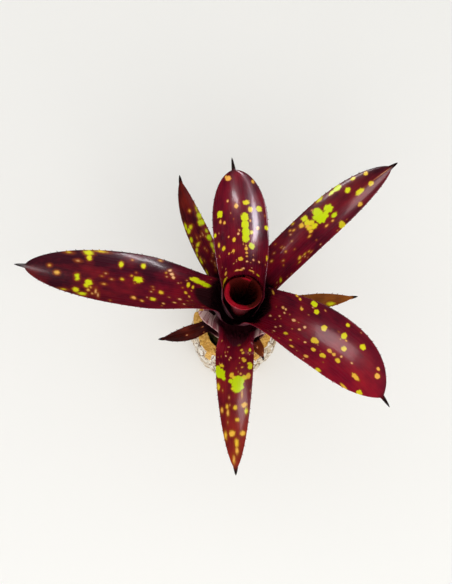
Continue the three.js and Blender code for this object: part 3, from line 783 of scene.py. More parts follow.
def leaf_mesh(leaf, seed):
    """The leaf as a stack of closed rings from seat to tip. Each ring runs over the upper face,
    round a margin, back under the lower face and round the other margin."""
    t = np.linspace(0, 1, SHEATH_ROWS, endpoint=False)
    toothed = 1 - leaf.spike / leaf.length
    u = np.concatenate([
        np.linspace(0, toothed, round(toothed * leaf.length / BLADE_ROW), endpoint=False),
        np.linspace(toothed, 1 - TIP_CUT, SPIKE_ROWS),
    ])[:0 if leaf.rolled else None]
    v = np.linspace(1, -1, COLUMNS + 1)
    sheath, blade = leaf.sheath(t, v), leaf.blade(u, v)
    points = np.concatenate([sheath[0], blade[0]])
    normals = np.concatenate([sheath[1], blade[1]])
    curve = leaf.sheath_curve(t)[0]
    steps = np.linalg.norm(np.diff(curve, axis=0, append=[leaf.neck]), axis=-1)
    below = -np.cumsum(steps[::-1])[::-1]
    place = np.concatenate([below, u * leaf.length])
    width = np.concatenate([leaf.sheath_half_width(t), leaf.blade_half_width(u)])

    half = mix(MID_THICKNESS, MARGIN_THICKNESS, v ** 2)[None, :] / 2
    half = np.minimum(half, width[:, None] * THICKNESS_SHARE)
    upper = points + normals * half[..., None]
    lower = points - normals * half[..., None]
    outward = np.stack([points[:, 0] - points[:, 1], points[:, -1] - points[:, -2]], axis=1)
    outward /= np.maximum(np.linalg.norm(outward, axis=-1, keepdims=True), 1e-9)
    reach = np.minimum(MARGIN_ROUND, width * ROUND_SHARE)[:, None]
    margins = [points[:, 0] + outward[:, 0] * reach, points[:, -1] + outward[:, 1] * reach]

    def ring(over, right, under, left):
        """Joins values on the two faces and the two margins in the ring's own order."""
        return np.concatenate([over, right[:, None], under[:, ::-1], left[:, None]], axis=1)

    rings = ring(upper, margins[1], lower, margins[0])
    rows, sides = rings.shape[:2]
    u_all = place / leaf.length
    depth, ripe, ragged = spot_paints(leaf, u_all, v, seed)
    one, zero = np.ones((rows, COLUMNS + 1)), np.zeros((rows, COLUMNS + 1))
    flat = np.zeros(rows)
    over = np.stack([np.repeat(place[:, None], COLUMNS + 1, axis=1), v * width[:, None], one], -1)
    under = over * (1, 1, -1)
    edge = np.stack([place, width, flat], axis=-1)
    spine_way = np.zeros((rows, COLUMNS + 1, 3))
    tipward = np.gradient(points, axis=0)
    tipward /= np.maximum(np.linalg.norm(tipward, axis=-1, keepdims=True), 1e-9)
    size = smooth(0, SPINES_END, toothed - u_all) * smooth(*SPINES_START, u_all)
    dry = smooth(toothed - DRY_FROM, toothed + DRY_TO, u_all)
    paints = {
        "leaf_place": ring(over, edge * (1, -1, 1), under, edge),
        "spot": ring(depth, depth[:, -1], depth, depth[:, 0]),
        "ripe": ring(ripe, ripe[:, -1], ripe, ripe[:, 0]),
        "ragged": ring(ragged, ragged[:, -1], ragged, ragged[:, 0]),
        "axil": ring(*leaf_shade(leaf, u_all, v)),
        "paper": ring(*leaf_paper(leaf, u_all, width, v)),
        "dry": ring(*[dry[:, None] * one, dry] * 2),
        "rust": ring(*leaf_tone(leaf.rust, u_all, v)),
        "glow": ring(*leaf_tone(leaf.glow, u_all, v)),
        "soft": ring(*leaf_tone(leaf.soft, u_all, v)),
        "blade": ring(one, flat + 1, one, flat + 1),
        "margin": ring(zero, flat + 1, zero, flat + 1),
        "spine_size": ring(zero, size, zero, size),
        "spine_way": ring(spine_way, outward[:, 1] + SPINE_LEAN * tipward[:, -1], spine_way,
                          outward[:, 0] + SPINE_LEAN * tipward[:, 0]),
    }
    faces = loft_faces(rows, sides)
    mirror = 2 * COLUMNS + 2
    for start, order in ((0, 1), ((rows - 1) * sides, -1)):
        strip = [[k, k + 1, mirror - k - 1, mirror - k][::order] for k in range(COLUMNS)]
        ends = [[COLUMNS, COLUMNS + 1, COLUMNS + 2][::order],
                [mirror, mirror + 1, 0][::order]]
        faces += [[start + corner for corner in face] for face in [*strip, *ends]]
    paints = {name: values.reshape(rows * sides, -1).squeeze() for name, values in paints.items()}
    return in_rosette(rings.reshape(-1, 3)), faces, paints


def leaf_shade(leaf, u, v):
    """Painted shade over the dark purple of the sheath's inside, up to the axil line across
    the blade's foot, and as much of it on the outer face as outer_axil asks.
    """
    line = leaf.axil_line(v)
    shade = smooth(line + leaf.axil_fade, line - leaf.axil_fade, u[:, None])
    inner = leaf.inner_axil * shade
    return inner, inner[:, -1], leaf.outer_axil * shade, inner[:, 0]


def leaf_tone(tone, u, v):
    """A tint's strength from its values at the neck, and how it grows along and across."""
    start, along, across = tone
    strength = np.clip(start + along * np.clip(u, 0, 1)[:, None] + across * v, 0, 1)
    return strength, strength[:, -1], strength, strength[:, 0]


def leaf_paper(leaf, u, width, v):
    """The thin, pale, dry wings of a sheath, where it is wider than its leaf's cup."""
    wing = np.abs(v)[None, :] * width[:, None] - min(leaf.cup, leaf.neck_width)
    paper = leaf.paper * smooth(0, PAPER_FADE, wing) * smooth(*PAPER_ENDS, u)[:, None]
    return paper, paper[:, -1], paper, paper[:, 0]


def marginal_spines():
    """Sets a row of short spines along both margins, leaning towards the tip, sunk into the blade.
    """
    tree, given, result = new_tree("marginal_spines", "GeometryNodeTree", {
        "Geometry": ("NodeSocketGeometry", None),
        "Spacing": ("NodeSocketFloat", 0.0055),
        "Spine Length": ("NodeSocketFloat", 0.0015),
        "Spine Width": ("NodeSocketFloat", 0.0008),
        "Seed": ("NodeSocketInt", 1),
        "Spine Material": ("NodeSocketMaterial", None),
        "Material": ("NodeSocketMaterial", None),
    }, {"Geometry": "NodeSocketGeometry"})
    margin = stored(tree, "margin")
    chosen = sums(tree, "GREATER_THAN", margin, 0.99)
    edge = add(tree, "GeometryNodeMeshToCurve", {"Mesh": given["Geometry"], "Selection": chosen})
    places = add(tree, "GeometryNodeResampleCurve", {"Curve": edge, "Length": given["Spacing"]},
                 mode="LENGTH")
    way = stored(tree, "spine_way", "FLOAT_VECTOR")
    size = stored(tree, "spine_size")
    vary = add(tree, "FunctionNodeRandomValue", {"Min": 0.65, "Max": 1.15,
               "Seed": given["Seed"]}, data_type="FLOAT")
    scale = sums(tree, "MULTIPLY", size, vary)
    shift = add(tree, "FunctionNodeRandomValue", {"Min": -0.3, "Max": 0.3,
                "Seed": sums(tree, "ADD", given["Seed"], 1)}, data_type="FLOAT")
    tangent = add(tree, "GeometryNodeInputTangent")
    slide = vector_sums(tree, "SCALE", tangent)
    tree.links.new(sums(tree, "MULTIPLY", shift, given["Spacing"]), slide.node.inputs["Scale"])
    strewn = add(tree, "GeometryNodeSetPosition", {"Geometry": places, "Offset": slide})
    spine = add(tree, "GeometryNodeMeshCone", {"Vertices": 5, "Side Segments": 2,
                "Radius Top": 0.00004, "Radius Bottom": sums(tree, "MULTIPLY",
                given["Spine Width"], 0.5), "Depth": given["Spine Length"]})
    sunk = add(tree, "ShaderNodeCombineXYZ", {
        "Z": sums(tree, "MULTIPLY", given["Spine Length"], -0.35)})
    spine = add(tree, "GeometryNodeTransform", {"Geometry": spine, "Translation": sunk})
    aim = add(tree, "FunctionNodeAlignRotationToVector", {"Vector": way}, axis="Z")
    kept = sums(tree, "GREATER_THAN", scale, 0.12)
    sown = add(tree, "GeometryNodeInstanceOnPoints", {"Points": strewn, "Selection": kept,
               "Instance": spine, "Rotation": aim, "Scale": scale})
    both = add(tree, "GeometryNodeJoinGeometry", {"Geometry": sown})
    tree.links.new(given["Geometry"], both.node.inputs["Geometry"])
    blade = stored(tree, "blade")
    horny = sums(tree, "LESS_THAN", blade, 0.5)
    skinned = real_mesh(tree, both, given["Material"])
    done = add(tree, "GeometryNodeSetMaterial", {"Geometry": skinned, "Selection": horny,
               "Material": given["Spine Material"]})
    tree.links.new(done, result["Geometry"])
    return tree


def leaf_markings():
    """A leaf's colours: red ground with veins, clouds and painted light and shade, spots with
    ragged edges and an amber fringe, painted shade in the axil, papery wings, the dry tip,
    and pale scurf across the lower face."""
    tree, given, result = new_tree("leaf_markings", "ShaderNodeTree", {
        "Dark Ground": ("NodeSocketColor", colour("#3b091a")),
        "Bright Ground": ("NodeSocketColor", colour("#980c2a")),
        "Dark Rust": ("NodeSocketColor", colour("#2e0d05")),
        "Bright Rust": ("NodeSocketColor", colour("#a03208")),
        "Lower Face": ("NodeSocketColor", colour("#5a3040")),
        "Axil": ("NodeSocketColor", colour("#2a0f13")),
        "Paper": ("NodeSocketColor", colour("#ecc6c0")),
        "Tip": ("NodeSocketColor", colour("#170806")),
        "Wax": ("NodeSocketFloat", 0.2),
        "Seed": ("NodeSocketFloat", 0.0),
    }, {"Color": "NodeSocketColor", "Roughness": "NodeSocketFloat", "Gloss": "NodeSocketFloat",
        "Height": "NodeSocketFloat"})
    paint = {name: painted(tree, name) for name in (
        "spot", "ripe", "ragged", "axil", "paper", "dry", "rust", "glow", "soft")}
    place = painted(tree, "leaf_place", "Vector")
    face = add(tree, "ShaderNodeSeparateXYZ", {"Vector": place}, output="Z")
    seed = given["Seed"]

    def grain(along, across, detail, roughness, offset):
        """Noise over the leaf, stretched along or across it."""
        scaled = add(tree, "ShaderNodeMapping", {"Vector": place, "Scale": (along, across, 0.3)})
        return cloud(tree, scaled, 1.0, detail, roughness, sums(tree, "ADD", seed, offset))

    veins = grain(0.02, 1.5, 3.0, 0.6, 0.0)
    streaks = grain(0.012, 0.3, 3.0, 0.6, 10.0)
    clouds = grain(0.05, 0.07, 3.0, 0.5, 20.0)
    mottle = grain(0.13, 0.3, 3.0, 0.6, 60.0)
    uneven = sums(tree, "MULTIPLY_ADD", clouds, 1.3, -1.07)
    for patches, strength in ((streaks, 0.12), (mottle, 0.64)):
        uneven = sums(tree, "MULTIPLY_ADD", patches, strength, uneven)
    # Painted light and shade: glow brightens and darkens the red over the leaf's own clouded tone.
    light_and_tone = sums(tree, "ADD", paint["glow"], uneven)
    ground = blend(tree, light_and_tone, given["Dark Ground"], given["Bright Ground"])
    rusty = blend(tree, light_and_tone, given["Dark Rust"], given["Bright Rust"])
    rusted = sums(tree, "MULTIPLY_ADD", sums(tree, "SUBTRACT", clouds, 0.5), 0.8, paint["rust"])
    ground = blend(tree, rusted, ground, rusty)
    ground = blend(tree, ramp(tree, veins, 0.35, 0.75, 0.0, 0.08), ground, colour("#22040a"))

    wobble = sums(tree, "MULTIPLY", sums(tree, "SUBTRACT", grain(0.4, 0.6, 4.0, 0.65, 30.0), 0.5),
                  4.6)
    depth = sums(tree, "MULTIPLY_ADD", wobble, paint["ragged"], paint["spot"])
    ripeness = sums(tree, "ADD", paint["ripe"], sums(tree, "MULTIPLY",
                    sums(tree, "SUBTRACT", clouds, 0.5), 0.3))
    shades = add(tree, "ShaderNodeValToRGB", {"Fac": ripeness}, output="Color")
    scale = shades.node.color_ramp
    scale.elements[0].color = colour("#f4c096")
    scale.elements[1].color = colour("#c4dc00")
    for position, code in ((0.28, "#f0ae50"), (0.5, "#e8b830"), (0.75, "#dcd410")):
        scale.elements.new(position).color = colour(code)
    reach = sums(tree, "MULTIPLY_ADD", paint["soft"], 1.8, 0.5)
    fringe = sums(tree, "ADD", sums(tree, "DIVIDE", depth, reach), 1.0)
    ground = blend(tree, ramp(tree, fringe, 0.0, 1.0, 0.0, 0.7), ground, colour("#8a380a"))
    inside = sums(tree, "DIVIDE", sums(tree, "ADD", depth, sums(tree, "MULTIPLY", reach, 0.25)),
                  reach)
    inside = ramp(tree, inside, 0.0, 0.9)
    upper = blend(tree, inside, ground, shades)

    bands = ramp(tree, grain(0.35, 0.03, 3.0, 0.6, 40.0), 0.48, 0.62)
    scurf = ramp(tree, grain(3.0, 3.0, 3.0, 0.8, 50.0), 0.5, 0.7)
    under = blend(tree, 0.5, upper, given["Lower Face"])
    dusty = sums(tree, "MULTIPLY", sums(tree, "MULTIPLY_ADD", bands, 0.7, 0.3), scurf)
    under = blend(tree, dusty, under, colour("#b9a7a6"))
    is_under = ramp(tree, face, -0.3, -0.8)
    skin = blend(tree, is_under, upper, under)

    # Painted shade: the Axil colour darkens each sheath's inside up to the axil line.
    skin = blend(tree, paint["axil"], skin, given["Axil"])
    torn = blend(tree, ramp(tree, streaks, 0.42, 0.57), given["Paper"], colour("#a34a58"))
    torn = blend(tree, scurf, torn, colour("#efe4dc"))
    torn = blend(tree, ramp(tree, paint["paper"], 0.35, 0.85), colour("#6e1c34"), torn)
    skin = blend(tree, paint["paper"], skin, torn)
    skin = blend(tree, paint["dry"], skin, given["Tip"])
    tree.links.new(skin, result["Color"])
    rough = sums(tree, "MULTIPLY_ADD", veins, 0.16, 0.2)
    rough = sums(tree, "MULTIPLY_ADD", sums(tree, "MAXIMUM", is_under, paint["paper"]), 0.4,
                 rough)
    tree.links.new(rough, result["Roughness"])
    dull = sums(tree, "MAXIMUM", sums(tree, "MAXIMUM", paint["axil"], paint["paper"]), is_under)
    wax = sums(tree, "MULTIPLY", given["Wax"], sums(tree, "MULTIPLY_ADD", scurf, 0.7, 0.7))
    tree.links.new(sums(tree, "MULTIPLY", sums(tree, "SUBTRACT", 1.0, dull), wax),
                   result["Gloss"])
    ribs = sums(tree, "MULTIPLY_ADD", scurf, 0.2, veins)
    tree.links.new(sums(tree, "MULTIPLY_ADD", inside, 0.1, ribs), result["Height"])
    return tree


markings = leaf_markings()


def leaf_skin(name, **colours):
    """A leaf's material: its markings with these colours, under a waxy gloss."""
    material, tree, shader = new_material(name)
    laid = tree.nodes.new("ShaderNodeGroup")
    laid.node_tree = markings
    for label, value in colours.items():
        laid.inputs[label.replace("_", " ").title()].default_value = value
    tree.links.new(laid.outputs["Color"], shader["Base Color"])
    tree.links.new(laid.outputs["Roughness"], shader["Roughness"])
    tree.links.new(laid.outputs["Gloss"], shader["Coat Weight"])
    bump = add(tree, "ShaderNodeBump", {"Strength": 0.25, "Distance": 0.0003,
               "Height": laid.outputs["Height"]})
    tree.links.new(bump, shader["Normal"])
    shader["Specular IOR Level"].default_value = 0.1
    shader["Coat Roughness"].default_value = 0.14
    return material


def spine_skin():
    material, tree, shader = new_material("leaf_spine")
    place = add(tree, "ShaderNodeTexCoord", output="Object")
    grain = cloud(tree, place, 2500.0, 3.0, 0.6, 1.0)
    horn = blend(tree, ramp(tree, grain, 0.3, 0.7), colour("#1a0a06"), colour("#4a2010"))
    tree.links.new(horn, shader["Base Color"])
    tree.links.new(ramp(tree, grain, 0.3, 0.7, 0.35, 0.6), shader["Roughness"])
    return material


spines = marginal_spines()
horn = spine_skin()


def dress_leaf(node, leaf, skin, seed):
    points, faces, paints = leaf_mesh(leaf, seed)
    piece = new_piece("dressed_" + node, points, faces, **paints)
    grow(piece, spines, spacing=0.0056, spine_length=0.0017, spine_width=0.001, seed=seed,
         spine_material=horn, material=skin)
    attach(piece, "root")
    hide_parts(node)
    return piece


# ---- Small old leaves ----------------------------------------------------------------------
# The plant's first leaves, short and narrow, at the foot of the rosette. Their red has faded to
# olive brown, and the wings of their sheaths have dried to paper.

old_skin = leaf_skin("old_leaf", wax=0.25, dark_ground=colour("#300a06"),
                     bright_ground=colour("#862018"), dark_rust=colour("#4a1c06"),
                     bright_rust=colour("#b0641c"), lower_face=colour("#6a4a30"),
                     paper=colour("#caa28c"), seed=3.0)
SMALL_LEAF = dict(wrap=80, bulge=2, channel=(55, 32, 35), taper=(1.8, 0.9), freckles=3,
                  paper=1.0, belly_at=0.3, spike=3, spike_width=1.0, spots=())
SMALL_LEAVES = {
    "leaf_small_front": StrapLeaf(**{
        **SMALL_LEAF, "wrap": 50}, rust=(0.3, 0, 0), heading=296, seat=(8.7, 9),
        sheath_width=16, nest=27, neck=(30, 26), neck_width=4.5, belly_width=4.2, length=16,
        pitch=(10, -10, -20)),
    "leaf_small_back": StrapLeaf(**{
        **SMALL_LEAF, "wrap": 60}, heading=72, seat=(8.6, 11), sheath_width=18, nest=27,
        neck=(32, 28), neck_width=5, belly_width=5, length=30, pitch=(15, 2, 0)),
    "leaf_small_left": StrapLeaf(
        **SMALL_LEAF, glow=(0.15, 0, 0), heading=209, veer=-24, veer_power=0.8,
        seat=(8.5, 13), sheath_width=20, nest=25.4, neck=(33, 30), neck_width=5.5,
        belly_width=6, length=38, pitch=(15, 2, 0)),
    "leaf_small_right": StrapLeaf(**{
        **SMALL_LEAF, "spots": ((0.64, -0.6, 0.06, 0.4, 0.8),), "belly_at": 0.45,
        "taper": (1.7, 0.9), "spike": 4}, soft=(1.2, 0, 0), rust=(1.2, 0, 0),
        glow=(0.6, 0, 0), heading=1.5, veer=10, seat=(8.4, 15), sheath_width=22, nest=25,
        neck=(33, 38.5), neck_width=7, belly_width=6.5, length=62, pitch=(25, 6, 0)),
}
for seed, (node, leaf) in enumerate(SMALL_LEAVES.items(), start=30):
    dress_leaf(node, leaf, old_skin, seed)


# ---- Grown leaves --------------------------------------------------------------------------
# Six full straps in a spiral, each a little higher and nearer the middle than the one before.
# They are glossy maroon, and each carries its own pattern of cream, amber and lime spots.

strap_skin = leaf_skin("spotted_strap")
# The front leaf's cup takes a lighter painted shade as its Axil colour.
cupped_skin = leaf_skin("cupped_strap", axil=colour("#501e2a"))
# axil and outer_axil place the painted shade inside each sheath and on its outer face.
STRAP = dict(wrap=150, bulge=3, spike_width=1.4, freckles=26, axil=-0.02, outer_axil=0.25)
GROWN_LEAVES = {
    "leaf_upper_left": StrapLeaf(
        **{**STRAP, "spike_width": 1.2, "axil": 0.0}, rust=(-0.35, 1.1, 0.0),
        glow=(0.12, 0.15, -0.1), soft=(0.8, 0.0, 0.0), heading=128.6, veer=-32.4, seat=(8.2, 17),
        sheath_width=26, nest=23, neck=(30, 50), neck_width=10.5, belly_width=10.5,
        belly_at=0.38, length=88.5, pitch=(50, 34, 25), channel=(70, 45, 45), taper=(2.0, 0.75),
        roll=20, spike=5, spots=(
            (0.24, 0.80, 0.040, 0.18, 0.85), (0.34, 0.66, 0.020, 0.22, 0.75),
            (0.31, 0.88, 0.022, 0.14, 0.85), (0.37, 0.27, 0.018, 0.26, 0.7),
            (0.45, 0.78, 0.026, 0.24, 0.9), (0.525, 0.62, 0.026, 0.30, 0.85),
            (0.57, 0.82, 0.034, 0.22, 0.9), (0.54, 0.25, 0.022, 0.24, 0.7),
            (0.675, -0.21, 0.015, 0.15, 0.4), (0.29, -0.74, 0.034, 0.14, 0.9),
            (0.235, -0.71, 0.030, 0.12, 0.9), (0.37, -0.80, 0.034, 0.20, 1.0),
            (0.44, -0.86, 0.022, 0.12, 0.9), (0.535, -0.78, 0.034, 0.30, 0.95),
            (0.60, -0.86, 0.040, 0.22, 0.95), (0.67, -0.90, 0.034, 0.10, 0.85),
            (0.12, 0.85, 0.030, 0.16, 0.8), (0.39, -0.62, 0.010, 0.06, 0.2))),
    "leaf_front": StrapLeaf(
        # Painted shade fills the front leaf's cup, with a sharp edge where the blade turns out to
        # the light.
        **STRAP, paper=1.0, inner_axil=0.85, axil_fade=0.012,
        axil_line=lambda v: -0.008 - 0.3 * v ** 2, rust=(0.0, 0.7, 0.0),
        glow=(0.42, 0.22, 0.0), soft=(0.0, 1.1, 0.0), heading=262.5, veer=9.7, veer_power=0.35,
        seat=(7.9, 19), sheath_width=24, nest=21, neck=(37, 55), neck_width=17.5,
        belly_width=15.3, belly_at=0.1, length=103, pitch=(35.5, 9.7, -14),
        channel=(75, 35, 35), taper=(1.7, 0.66), spike=5, fold_start=0.25, cup=14, wing=18.5,
        wing_bend=2.5, spots=(
            (-0.028, 0.16, 0.015, 0.08, 0.4), (0.035, 0.33, 0.012, 0.08, 0.4),
            (0.062, 0.42, 0.012, 0.08, 0.4), (0.135, 0.52, 0.016, 0.12, 0.5),
            (0.115, 0.45, 0.012, 0.09, 0.45), (0.056, 0.80, 0.012, 0.08, 0.7),
            (0.10, -0.45, 0.008, 0.05, 0.1), (0.11, -0.20, 0.008, 0.06, 0.1),
            (0.20, 0.85, 0.026, 0.14, 0.75), (0.17, 0.78, 0.012, 0.12, 0.7),
            (0.195, 0.42, 0.008, 0.07, 0.3), (0.25, 0.35, 0.010, 0.07, 0.3),
            (0.195, -0.68, 0.014, 0.14, 0.65), (0.262, -0.76, 0.044, 0.30, 1.0),
            (0.295, -0.58, 0.020, 0.13, 1.0), (0.225, -0.86, 0.022, 0.16, 0.95),
            (0.262, -0.13, 0.024, 0.13, 0.5), (0.285, 0.00, 0.020, 0.14, 0.6),
            (0.305, 0.22, 0.040, 0.36, 1.0), (0.350, 0.20, 0.044, 0.34, 1.0),
            (0.312, -0.16, 0.018, 0.16, 0.95), (0.285, 0.54, 0.022, 0.20, 0.65),
            (0.275, 0.76, 0.026, 0.14, 0.45), (0.385, 0.15, 0.020, 0.24, 0.95),
            (0.372, -0.08, 0.013, 0.11, 0.7), (0.415, 0.45, 0.035, 0.06, 0.3),
            (0.370, -0.92, 0.030, 0.10, 0.6), (0.440, -0.30, 0.012, 0.05, 0.2),
            (0.510, -0.46, 0.018, 0.11, 0.5), (0.515, 0.05, 0.018, 0.16, 0.55),
            (0.500, 0.63, 0.020, 0.20, 0.4), (0.545, 0.78, 0.028, 0.13, 0.75),
            (0.555, -0.44, 0.026, 0.10, 0.35), (0.540, -0.84, 0.020, 0.10, 0.4),
            (0.605, 0.20, 0.015, 0.16, 0.5), (0.715, -0.84, 0.030, 0.16, 0.5),
            (0.700, -0.24, 0.024, 0.28, 0.42), (0.702, 0.68, 0.020, 0.26, 0.42),
            (0.770, 0.18, 0.034, 0.24, 0.5), (0.825, 0.24, 0.028, 0.24, 0.35),
            (0.885, -0.30, 0.030, 0.30, 0.3))),
    "leaf_upper_right": StrapLeaf(
        **STRAP, rust=(-0.1, 0.4, 0.15), glow=(0.32, 0.0, -0.1), soft=(0.6, -0.5, 0.0),
        heading=41, veer=-8, seat=(7.4, 21), sheath_width=30, nest=19.2, neck=(28, 66),
        neck_width=18.2, belly_width=15.4, belly_at=0.44, length=134, pitch=(48, 30, 10),
        channel=(75, 40, 40), taper=(2.3, 0.7), spike=6, spots=(
            (0.31, 0.79, 0.008, 0.05, 0.4), (0.325, 0.67, 0.010, 0.05, 0.45),
            (0.09, 0.35, 0.010, 0.05, 0.3), (0.035, 0.35, 0.010, 0.05, 0.5),
            (0.195, 0.19, 0.008, 0.05, 0.3), (0.145, -0.03, 0.007, 0.04, 0.3),
            (0.24, -0.53, 0.013, 0.09, 0.45), (0.23, -0.71, 0.012, 0.05, 0.45),
            (0.28, -0.59, 0.013, 0.05, 0.45), (0.31, -0.65, 0.010, 0.05, 0.45),
            (0.32, -0.78, 0.010, 0.04, 0.4), (0.415, 0.74, 0.020, 0.16, 0.85),
            (0.375, 0.58, 0.018, 0.12, 0.5), (0.41, 0.50, 0.020, 0.14, 0.75),
            (0.425, 0.34, 0.022, 0.15, 0.7), (0.395, 0.36, 0.014, 0.10, 0.45),
            (0.425, 0.12, 0.022, 0.14, 0.75), (0.40, 0.20, 0.020, 0.12, 0.6),
            (0.39, 0.05, 0.014, 0.10, 0.5), (0.365, -0.08, 0.012, 0.05, 0.4),
            (0.49, 0.46, 0.030, 0.30, 0.95), (0.485, 0.20, 0.034, 0.26, 1.0),
            (0.515, 0.10, 0.014, 0.12, 0.9), (0.47, 0.36, 0.026, 0.20, 1.0),
            (0.55, 0.30, 0.028, 0.22, 0.95), (0.525, 0.22, 0.030, 0.12, 0.95),
            (0.55, -0.14, 0.022, 0.11, 0.95), (0.48, -0.29, 0.012, 0.06, 0.3),
            (0.525, -0.31, 0.010, 0.06, 0.3), (0.62, 0.85, 0.020, 0.10, 0.9),
            (0.66, 0.88, 0.025, 0.15, 0.95), (0.695, 0.45, 0.018, 0.17, 0.8),
            (0.545, 0.95, 0.026, 0.08, 0.8), (0.755, 0.88, 0.014, 0.12, 0.7),
            (0.905, -0.06, 0.055, 0.05, 0.0), (0.35, 0.95, 0.010, 0.05, 0.7),
            (0.74, -0.06, 0.028, 0.18, 0.7), (0.815, -0.13, 0.016, 0.20, 0.6),
            (0.70, -0.71, 0.015, 0.16, 0.45), (0.555, -0.86, 0.020, 0.25, 0.7),
            (0.065, -0.66, 0.012, 0.15, 0.7), (0.825, 0.80, 0.012, 0.17, 0.6))),
    "leaf_left": StrapLeaf(
        **STRAP, axil_line=lambda v: (0.088 - 0.1 * np.maximum(v, 0) ** 1.5
                                      - 0.09 * smooth(-0.2, -0.42, v)), rust=(-0.15, 0.45, 0.1),
        glow=(0.36, -0.25, 0.16), soft=(0.1, 0.9, 0.0), heading=178.5, veer=-8.5, seat=(6.8, 23.5),
        sheath_width=20, nest=17.2, neck=(27, 70), neck_width=17, belly_width=21.2,
        belly_at=0.4, length=152, pitch=(44, 16, -4), channel=(75, 40, 30), taper=(2.1, 0.62),
        spike=8, spots=(
            (0.025, -0.49, 0.035, 0.10, 0.95), (0.07, -0.55, 0.040, 0.11, 0.9),
            (0.105, -0.61, 0.032, 0.10, 0.85), (0.13, -0.29, 0.012, 0.12, 0.7),
            (0.10, -0.24, 0.008, 0.08, 0.6), (0.14, 0.07, 0.010, 0.06, 0.45),
            (0.12, 0.22, 0.007, 0.05, 0.3), (0.165, 0.69, 0.007, 0.05, 0.05),
            (0.18, 0.43, 0.012, 0.05, 0.1), (0.215, 0.64, 0.010, 0.045, 0.2),
            (0.275, 0.73, 0.008, 0.05, 0.25), (0.28, 0.24, 0.014, 0.08, 0.5),
            (0.325, 0.56, 0.018, 0.08, 0.7), (0.38, 0.69, 0.010, 0.05, 0.4),
            (0.42, 0.61, 0.013, 0.07, 0.3), (0.40, -0.11, 0.024, 0.12, 0.85),
            (0.48, -0.04, 0.010, 0.05, 0.6), (0.435, -0.21, 0.007, 0.035, 0.5),
            (0.565, 0.25, 0.010, 0.04, 0.3), (0.53, 0.02, 0.007, 0.03, 0.15),
            (0.385, -0.62, 0.013, 0.09, 0.8), (0.495, -0.56, 0.013, 0.11, 0.8),
            (0.250, -0.68, 0.010, 0.055, 0.08), (0.235, -0.55, 0.011, 0.065, 0.05),
            (0.222, -0.44, 0.011, 0.060, 0.08), (0.265, -0.55, 0.007, 0.04, 0.5),
            (0.445, -0.77, 0.006, 0.03, 0.3), (0.31, -0.95, 0.010, 0.04, 0.4),
            (0.635, 0.30, 0.018, 0.15, 0.85), (0.645, 0.44, 0.013, 0.10, 0.75),
            (0.69, 0.76, 0.016, 0.13, 0.8), (0.66, 0.88, 0.022, 0.10, 0.85),
            (0.635, 0.62, 0.008, 0.07, 0.35), (0.615, 0.75, 0.006, 0.05, 0.25),
            (0.600, 0.62, 0.006, 0.12, 0.2), (0.625, 0.48, 0.006, 0.06, 0.3),
            (0.588, 0.76, 0.005, 0.09, 0.15),
            (0.695, 0.08, 0.013, 0.10, 0.9), (0.692, 0.22, 0.012, 0.09, 0.85),
            (0.79, 0.10, 0.014, 0.12, 0.4), (0.83, -0.26, 0.008, 0.08, 0.35),
            (0.655, -0.90, 0.026, 0.12, 0.85), (0.65, -0.70, 0.014, 0.12, 0.75),
            (0.60, -0.97, 0.030, 0.05, 0.6), (0.75, -0.95, 0.014, 0.05, 0.6),
            (0.745, 0.92, 0.014, 0.05, 0.8), (0.70, -0.55, 0.010, 0.04, 0.2))),
    "leaf_right": StrapLeaf(
        **STRAP, rust=(0.0, 0.1, 0.0), glow=(0.35, 0.4, -0.25), heading=-33.7, veer=-22,
        seat=(6.2, 26), sheath_width=21, nest=15.4, neck=(25, 72), neck_width=22,
        belly_width=24.1, belly_at=0.45, length=125, pitch=(48, 22, -8),
        channel=(75, 40, 30), taper=(2.8, 0.8), spike=9, spots=(
            (0.005, 0.85, 0.010, 0.10, 0.4), (0.09, 0.39, 0.013, 0.05, 0.2),
            (0.115, 0.37, 0.010, 0.04, 0.15), (0.115, 0.24, 0.010, 0.03, 0.1),
            (0.09, 0.07, 0.010, 0.03, 0.1), (0.02, -0.04, 0.013, 0.04, 0.1),
            (0.205, 0.89, 0.010, 0.05, 0.5), (0.185, 0.97, 0.010, 0.04, 0.5),
            (0.225, 0.58, 0.012, 0.05, 0.4), (0.295, 0.90, 0.019, 0.09, 0.9),
            (0.322, 0.69, 0.018, 0.08, 0.8), (0.41, 0.36, 0.018, 0.10, 0.65),
            (0.205, 0.13, 0.016, 0.05, 0.1), (0.30, 0.09, 0.012, 0.04, 0.05),
            (0.28, -0.07, 0.012, 0.04, 0.15), (0.15, -0.27, 0.010, 0.035, 0.15),
            (0.13, -0.39, 0.010, 0.035, 0.1), (0.225, -0.44, 0.018, 0.06, 0.6),
            (0.155, -0.60, 0.012, 0.03, 0.1), (0.29, -0.57, 0.010, 0.04, 0.3),
            (0.335, -0.77, 0.018, 0.05, 0.4), (0.41, -0.13, 0.026, 0.10, 0.6),
            (0.37, -0.35, 0.010, 0.04, 0.2), (0.445, -0.41, 0.016, 0.06, 0.55),
            (0.45, -0.77, 0.016, 0.06, 0.3), (0.515, -0.39, 0.020, 0.08, 0.6),
            (0.525, -0.13, 0.017, 0.06, 0.35), (0.56, -0.14, 0.013, 0.06, 0.35),
            (0.52, 0.85, 0.012, 0.06, 0.7), (0.535, 0.51, 0.018, 0.10, 0.75),
            (0.56, 0.43, 0.008, 0.03, 0.3), (0.58, 0.19, 0.018, 0.08, 0.6),
            (0.60, -0.23, 0.017, 0.07, 0.55), (0.60, -0.05, 0.008, 0.04, 0.2),
            (0.655, 0.65, 0.018, 0.10, 0.75), (0.67, 0.01, 0.008, 0.03, 0.1),
            (0.74, -0.28, 0.030, 0.10, 0.4), (0.82, 0.47, 0.016, 0.14, 0.3),
            (0.795, 0.67, 0.012, 0.07, 0.3), (0.825, -0.90, 0.018, 0.18, 0.7),
